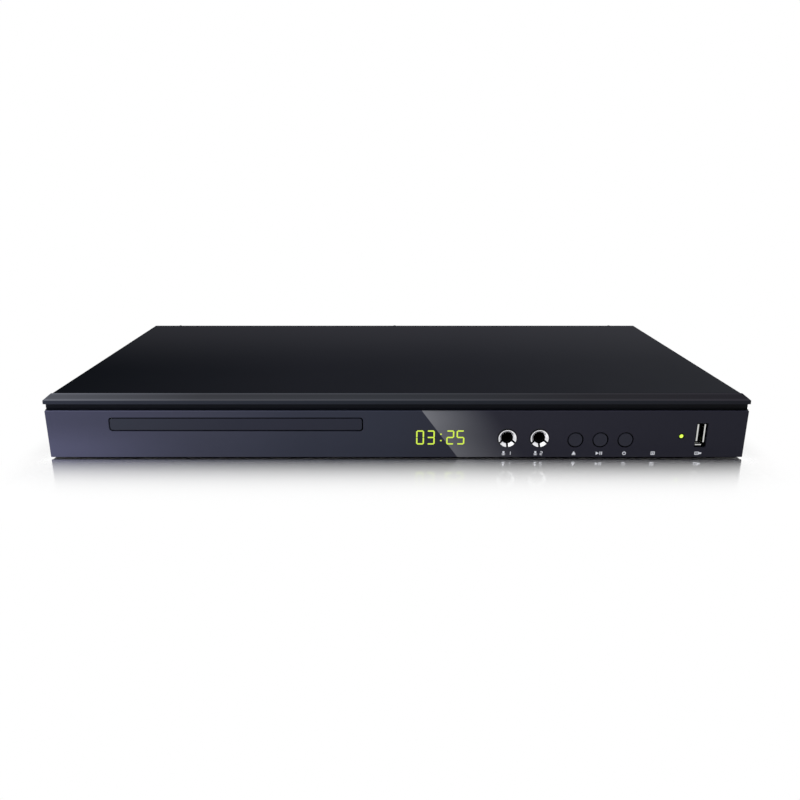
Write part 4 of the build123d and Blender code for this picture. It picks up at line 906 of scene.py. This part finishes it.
def makeFrontMarks():
    # printed control signs under the keys and sockets
    values = marks
    z, stroke = values["middleZ"], values["stroke"]
    front, back = faceY - values["proud"], faceY + values["sunk"]
    middleY, deep = (front + back) / 2, back - front

    def block(name, x, area, extra=0):
        left, foot, right, top = area
        return addBox(name, (x + left, front - extra, z + foot), (x + right, back + extra, z + top))

    def bars(x, areas):
        return [softenEdges(block("bar", x, area), values["edge"], segments=1) for area in areas]

    def outlineOf(x, area):
        left, foot, right, top = area
        inside = (left + stroke, foot + stroke, right - stroke, top - stroke)
        return cutWith(block("outline", x, area), block("inside", x, inside, 1))

    def triangle(x, right, up, turn):
        piece = addRod("triangle", (0, 0, 0), values["triangleRadius"], deep, sides=3)
        piece.rotation_euler = (0, math.radians(turn), 0)
        piece.location = mm(x + right, middleY, z + up)
        return settle(piece)

    def ring(x, outer, sides=32):
        piece = addRod("ring", (x, middleY, z), outer, deep, sides=sides)
        return cutWith(piece, addRod("hole", (x, middleY, z), outer - stroke, deep + 2, sides=sides))

    pieces = []
    for sign, x in values["signX"].items():
        if sign in values["triangles"]:
            pieces.append(triangle(x, *values["triangles"][sign]))
        if sign in values["outlines"]:
            pieces.append(outlineOf(x, values["outlines"][sign]))
        if sign == "power":
            pieces.append(cutWith(ring(x, values["powerRing"]), block("notch", x, values["powerNotch"], 1)))
        pieces += bars(x, values["bars"][sign])
    right, up = values["numberPlace"]
    for number, x in zip("12", smokedFront["micX"]):
        pieces += bars(x, values["micBars"])
        pieces += makeNumeral(number, x + right, z + up, *values["numberSize"], stroke, values["numberGap"],
                              front, back)
    finishPiece(joinAll(pieces, "frontMarks"), "printGrey", "dark_trim")


makeFrontMarks()
print("front pieces made")


def refine(nodeName, name, width, segments=2):
    # a copy of a CAD node, merged, with its edges rounded
    piece = bpy.data.objects.new(name, nodes[nodeName].data.copy())
    bpy.context.scene.collection.objects.link(piece)
    activate(piece)
    bpy.ops.object.mode_set(mode='EDIT')
    bpy.ops.mesh.select_all(action='SELECT')
    bpy.ops.mesh.remove_doubles(threshold=0.000005)
    bpy.ops.mesh.dissolve_limited(angle_limit=math.radians(0.5))
    leaveEdit()
    if width:
        softenEdges(piece, width, segments, angle=30)
    return piece


# pieces that keep the CAD's form and get rounded edges: name, width of the rounding, finish, slot, body
roundedForms = {
    "top_cover": ("coverShell", 0.3, "coverPaint", "black_steel"),
    "top_trim": ("trimStrip", 0.3, "trimFinish", "dark_trim"),
    "rear_panel": ("rearSheet", 0.12, "rearPaint", "black_steel"),
    "chassis_pan": ("chassisSheet", 0.15, "zincSheet", "zinc_sheet"),
    "mains_inlet": ("mainsInletBody", 0.35, "blackMoulding", "black_plastic"),
    "hdmi_shell": ("hdmiShellDrawn", 0.12, "nickelShell", "nickel_shell"),
    "clamp_puck": ("clampPuckMoulded", 0.25, "gearWhite", "white_gear", "clamp_puck"),
    "turntable": ("turntableMoulded", 0.2, "blackMoulding", "black_plastic", "turntable"),
}

for nodeName, (pieceName, width, finish, slotName, *body) in roundedForms.items():
    finishPiece(refine(nodeName, pieceName, width), finish, slotName, [nodeName], *body)
for number in range(1, 5):
    foot = refine(f"foot_{number}", f"rubberFoot{number}", 0.5, segments=3)
    finishPiece(foot, "footRubber", "foot_rubber", [f"foot_{number}"])
print("sheet pieces rounded")

drawer = {
    "centre": (-98.6, -45.1),
    "well": 60.95,
    "wellFloor": 23.6,
    "innerWell": 41.25,
    "innerFloor": 22.8,
    "pickupHole": 21.45,
    "scoop": 12.45,
    "scoopReach": 60.6,
    "top": 26.1,
    "bottom": 18.9,
    "edge": 0.35,
}


def makeDrawer():
    # the disc tray with true round wells and softened rims
    values = drawer
    tray = refine("disc_tray", "discTray", 0)
    x, y = values["centre"]
    high = values["top"] + 1
    reach, innerFloor = values["scoopReach"], values["innerFloor"]
    cuts = ((x, values["well"], values["wellFloor"]), (x, values["innerWell"], innerFloor),
            (x, values["pickupHole"], values["bottom"] - 1), (x - reach, values["scoop"], innerFloor),
            (x + reach, values["scoop"], innerFloor))
    for middle, radius, low in cuts:
        cutWith(tray, addRod("well", (middle, y, (low + high) / 2), radius, high - low, sides=160, axis='Z'))
    softenEdges(tray, values["edge"], angle=40)
    finishPiece(tray, "trayPlastic", "tray_plastic", ["disc_tray"], "tray")


makeDrawer()

jack = {
    "bore": 3.2,
    "nose": 3.62,
    "setback": 2.6,
    "noseInBody": 1.5,
    "bodyHalf": (6.8, 6.0),
    "bodyFront": -109.1,
    "boreY": (-110.1, -82.1),
    "edge": 0.6,
}


def makeMicJack(node, name, x):
    # the nose behind the ring nut's funnel, and the moulded body behind the front
    values = jack
    z = smokedFront["micZ"]
    bore, outer, bodyFront = values["bore"], values["nose"], values["bodyFront"]
    front = faceY + values["setback"]
    deep = bodyFront + values["noseInBody"] - front
    nose = ringProfile(name, (x, front, z), [
        (bore, 0.15), (bore + 0.12, 0.0), (outer - 0.1, 0.0), (outer, 0.1), (outer, deep), (bore, deep),
        (bore, 0.15)])
    halfX, halfZ = values["bodyHalf"]
    body = addBox("body", (x - halfX, bodyFront, z - halfZ), (x + halfX, lowHigh(node)[1].y, z + halfZ))
    start, end = values["boreY"]
    cutWith(body, addRod("bore", (x, (start + end) / 2, z), bore, end - start))
    softenEdges(body, values["edge"], segments=3)
    finishPiece(joinAll([nose, body], name), "deepBlack", "jack_body", [node], smooth=30)


makeMicJack("mic_jack_1", "micSocketOne", smokedFront["micX"][0])
makeMicJack("mic_jack_2", "micSocketTwo", smokedFront["micX"][1])

phono = {
    "tip": 114.9,
    # profiles as (radius, depth) from their own front, the second and third set back from the tip
    "barrel": ((3.3, -7.5), (3.3, -0.25), (3.5, 0.0), (3.95, 0.0), (4.15, -0.25), (4.15, -2.0), (4.0, -2.2),
               (4.0, -2.7), (4.15, -2.9), (4.15, -7.5), (3.3, -7.5)),
    "core": ((1.6, 0.0), (3.0, 0.0), (3.28, -0.25), (3.28, -6.7), (5.35, -6.7), (5.6, -6.95), (5.6, -7.5),
             (1.6, -7.5), (1.6, 0.0)),
    "coreSetback": 0.8,
    "contact": ((1.3, 0.1), (1.4, 0.0), (1.58, 0.0), (1.58, -5.5), (1.3, -5.5), (1.3, 0.1)),
    "contactSetback": 1.5,
    "places": (("Green", 20.0, 28.0), ("Yellow", 20.0, 15.2), ("Blue", 34.0, 28.0), ("White", 34.0, 15.2),
               ("Red", 48.0, 28.0), ("Red", 48.0, 15.2), ("Orange", 68.0, 15.2)),
}


def makePhonoSockets():
    # nickel barrels, coloured insulators with a collar on the panel, and gilt centre contacts
    values = phono
    tip = values["tip"]
    barrel = ringProfile("barrel", (0, tip, 0), values["barrel"])
    core = ringProfile("core", (0, tip - values["coreSetback"], 0), values["core"])
    contact = ringProfile("contact", (0, tip - values["contactSetback"], 0), values["contact"], sides=32)
    barrels, contacts, cores = [], [], {}
    for label, x, z in values["places"]:
        barrels.append(copyPiece(barrel, "barrel", (x, 0, z)))
        contacts.append(copyPiece(contact, "contact", (x, 0, z)))
        cores.setdefault(label, []).append(copyPiece(core, "core", (x, 0, z)))
    for piece in (barrel, core, contact):
        bpy.data.objects.remove(piece)
    finishPiece(joinAll(barrels, "phonoBarrelRings"), "nickelShell", "nickel_shell", ["phono_barrels"])
    finishPiece(joinAll(contacts, "phonoContacts"), "goldContact", "nickel_shell")
    for number, (label, rings) in enumerate(cores.items()):
        stands = ["phono_inserts"] if number == 0 else []
        finishPiece(joinAll(rings, "phonoInsulator" + label), "insulator" + label, "jack_insulator", stands)


makePhonoSockets()

screw = {
    "radius": 2.6,
    "height": 1.3,
    # shares of the radius, and depths
    "dome": ((0.62, 0.08), (0.88, 0.35), (1.0, 0.8)),
    "cross": (3.1, 0.62, 0.75),
    "spin": 0.7,
    "coverSides": ((-62.0, 14.0), (62.0, 14.0)),
    "coverSideX": 215.0,
    "coverRear": ((-192.0, 36.6), (0.0, 36.6), (192.0, 36.6)),
    "coverRearY": 107.4,
    "rear": ((-205.0, 14.0), (-205.0, 28.0), (6.0, 22.0), (61.0, 28.0), (80.5, 14.4), (103.5, 14.4),
             (160.5, 20.0), (195.5, 20.0), (207.0, 28.0)),
    "rearY": 106.6,
    "under": ((-150.0, -94.0), (150.0, -94.0), (-200.0, 0.0), (200.0, 0.0), (-120.0, 98.0), (40.0, 98.0)),
    "underZ": 4.0,
    "feet": ((-185.0, -81.6), (185.0, -81.6), (-185.0, 79.4), (185.0, 79.4)),
    "feetZ": 2.0,
}


def makeScrews():
    # one pan head with a cross recess, copied to every place
    values = screw
    radius, height = values["radius"], values["height"]
    head = ringProfile("head", (0, -height, 0), [
        (0.5, 0.0), *((radius * share, depth) for share, depth in values["dome"]), (radius, height + 0.2)],
        sides=40)
    long, wide, deep = values["cross"]
    for turn in (0, 90):
        slot = addBox("slot", (-long / 2, -height - 1, -wide / 2), (long / 2, -height + deep, wide / 2))
        slot.rotation_euler = (0, math.radians(turn), 0)
        settle(slot)
        cutWith(head, slot)
    softenEdges(head, 0.05, segments=1, angle=50)
    places = [((side * values["coverSideX"], y, z), (0, 0, side * 90))
              for side in (-1, 1) for y, z in values["coverSides"]]
    for name in ("coverRear", "rear"):
        places += [((x, values[name + "Y"], z), (0, 0, 180)) for x, z in values[name]]
    for name in ("under", "feet"):
        places += [((x, y, values[name + "Z"]), (90, 0, 0)) for x, y in values[name]]
    copies = []
    for number, (place, turns) in enumerate(places):
        other = copyPiece(head, "screw")
        other.rotation_euler = [math.radians(turn) for turn in turns]
        other.data.transform(Matrix.Rotation(values["spin"] * number, 4, 'Y'))
        other.location = mm(*place)
        copies.append(settle(other))
    bpy.data.objects.remove(head)
    finishPiece(joinAll(copies, "caseScrews"), "screwBlack", "black_steel", smooth=30)


makeScrews()
print("rear, tray and screws made")


# finishes of all CAD nodes, numbered ones without their number
nodeFinish = {name: finish for finish, names in (
    ("coverPaint", "top_cover"), ("trimFinish", "top_trim"), ("grooveFinishAndLight", "front_panel"),
    ("panelSmokeAndLight", "front_lens"), ("doorSmokeAndLight", "tray_door"), ("rearPaint", "rear_panel"),
    ("zincSheet", "chassis_pan clamper_bridge"), ("trayPlastic", "disc_tray"),
    ("buttonCap", "eject_button play_button power_button"), ("chipBlack", "board_chips"),
    ("deepBlack", "key_switches display_module usb_tongue hdmi_tongue mic_jack"),
    ("boardGreen", "key_board display_board mic_board main_board power_board"),
    ("canSleeve", "board_capacitors"), ("pilotGlow", "status_led"), ("digitGlow", "display_segments"),
    ("nickelShell", "usb_shell hdmi_shell phono_barrels inlet_pins"), ("insulatorWhite", "phono_inserts"),
    ("ferriteGrey", "power_transformer"), ("bareAluminium", "power_heatsink"),
    ("blackMoulding", "phono_block mains_inlet loader_frame traverse_frame turntable"),
    ("gearWhite", "tray_gear pulley_gear motor_pulley cam_slider clamp_puck"),
    ("motorCan", "loading_motor spindle_motor sled_motor"), ("beltRubber", "drive_belt"),
    ("polishedRod", "guide_rods sled_screw"), ("pickupMetal", "pickup_sled"), ("pickupGlass", "pickup_lens"),
    ("footRubber", "foot"), ("chromeRing", "mic_nut")) for name in names.split()}
for nodeName, node in nodes.items():
    finish = nodeFinish.get(nodeName) or nodeFinish[nodeName.rstrip("0123456789").rstrip("_")]
    for slot in node.material_slots:
        slot.material = bpy.data.materials[finish]
    if not node.material_slots:
        node.data.materials.append(bpy.data.materials[finish])
print("CAD finishes set")


# the studio: a pale floor, white surroundings and soft lamps
studio = {
    "floorTone": tone(244, 244, 244),
    "floorHalf": 4.0,
    "speck": 0.995,
    "mirrorRoughness": 0.1,
    "mirrorShare": 0.96,
    "mirrorReach": 62.0,
    "mirrorFall": 2.8,
    "whiteFrom": 12.0,
    "whiteTo": 90.0,
    "endsWhite": 25.0,
    "skyLight": 1.0,
    "lampSize": 1.6,
    "lamps": (("keyLamp", (-0.9, -0.7, 1.6), 6.0), ("rimLamp", (0.9, 0.9, 1.4), 4.0)),
}


def makeFloorFinish():
    # matt and pale, mirror-like just beside the player, and plain white away from it
    tree, principled, place = startMaterial("floorFinish", Roughness=0.9, Specular_IOR_Level=0.0)
    paler = scaled(studio["floorTone"], studio["speck"])
    pale = mixColour(tree, addNoise(tree, place, 40), studio["floorTone"], paler)
    tree.links.new(pale, principled.inputs['Base Color'])
    axes = axesOf(tree, place)
    low, high = cadBox
    # how far outside the player's outline a point lies
    outside = []
    for axis, number in (('X', 0), ('Y', 1)):
        middle, half = (low[number] + high[number]) / 2, (high[number] - low[number]) / 2
        offset = mathNode(tree, 'ABSOLUTE', mathNode(tree, 'SUBTRACT', axes[axis], middle))
        outside.append(mathNode(tree, 'MAXIMUM', mathNode(tree, 'SUBTRACT', offset, half), 0.0))
    reach = mathNode(tree, 'SQRT', plus(tree, *(mathNode(tree, 'POWER', part, 2.0) for part in outside)))
    share = mathNode(tree, 'POWER', rampBetween(tree, reach, studio["mirrorReach"], 0.0, shape='LINEAR'),
                     studio["mirrorFall"])
    share = times(tree, share, studio["mirrorShare"])
    mirror = addNode(tree, 'ShaderNodeBsdfGlossy', {
        'Color': (1, 1, 1, 1), 'Roughness': studio["mirrorRoughness"]})
    nearby = mixShaders(tree, share, principled.outputs[0], mirror.outputs[0])
    path = addNode(tree, 'ShaderNodeLightPath', {})
    seen = plus(tree, path.outputs['Is Camera Ray'], path.outputs['Is Glossy Ray'], clamp=True)
    far = mathNode(tree, 'MAXIMUM', rampBetween(tree, reach, studio["whiteFrom"], studio["whiteTo"]),
                   rampBetween(tree, outside[0], 0.0, studio["endsWhite"]))
    white = addNode(tree, 'ShaderNodeEmission', {})
    ground = mixShaders(tree, times(tree, far, seen), nearby, white.outputs[0])
    tree.links.new(ground, tree.nodes['Material Output'].inputs['Surface'])


def makeSky():
    # white where the camera or a reflection looks, and its own level where it lights things
    world = bpy.data.worlds.new("studioSky")
    bpy.context.scene.world = world
    world.use_nodes = True
    tree = world.node_tree
    background = tree.nodes['Background']
    background.inputs['Color'].default_value = (1, 1, 1, 1)
    path = addNode(tree, 'ShaderNodeLightPath', {})
    seen = plus(tree, path.outputs['Is Camera Ray'], path.outputs['Is Glossy Ray'])
    seen = plus(tree, seen, path.outputs['Is Transmission Ray'], clamp=True)
    lit = times(tree, mathNode(tree, 'SUBTRACT', 1.0, seen), studio["skyLight"])
    tree.links.new(plus(tree, seen, lit), background.inputs['Strength'])


bpy.ops.object.select_all(action='DESELECT')
bpy.ops.mesh.primitive_plane_add(size=2 * studio["floorHalf"], location=(0, 0, 0))
floor = bpy.context.object
floor.name = "studioFloor"
makeFloorFinish()
floor.data.materials.append(bpy.data.materials["floorFinish"])
makeSky()
for name, place, power in studio["lamps"]:
    bpy.ops.object.light_add(type='AREA', location=place)
    lamp = bpy.context.object
    lamp.name = name
    lamp.data.energy = power
    lamp.data.size = studio["lampSize"]
    lamp.rotation_euler = (-Vector(place)).to_track_quat('-Z', 'Y').to_euler()
print("studio made")

# the photograph's camera, worked out from its vanishing points
camera = {
    "place": (-0.0041, -0.5319, 0.1694),
    "down": 17.4,
    "focalPixels": 723.5,
    "imagePixels": 800,
    "principalColumn": 390,
    "sensor": 36.0,
}
bpy.ops.object.camera_add(location=camera["place"], rotation=(math.radians(90 - camera["down"]), 0, 0))
eye = bpy.context.object
eye.name = "photoCamera"
eye.data.sensor_width = camera["sensor"]
eye.data.lens = camera["focalPixels"] * camera["sensor"] / camera["imagePixels"]
eye.data.shift_x = (camera["imagePixels"] / 2 - camera["principalColumn"]) / camera["imagePixels"]
eye.data.clip_start = 0.01
scene = bpy.context.scene
scene.camera = eye
scene.view_settings.view_transform = 'Standard'
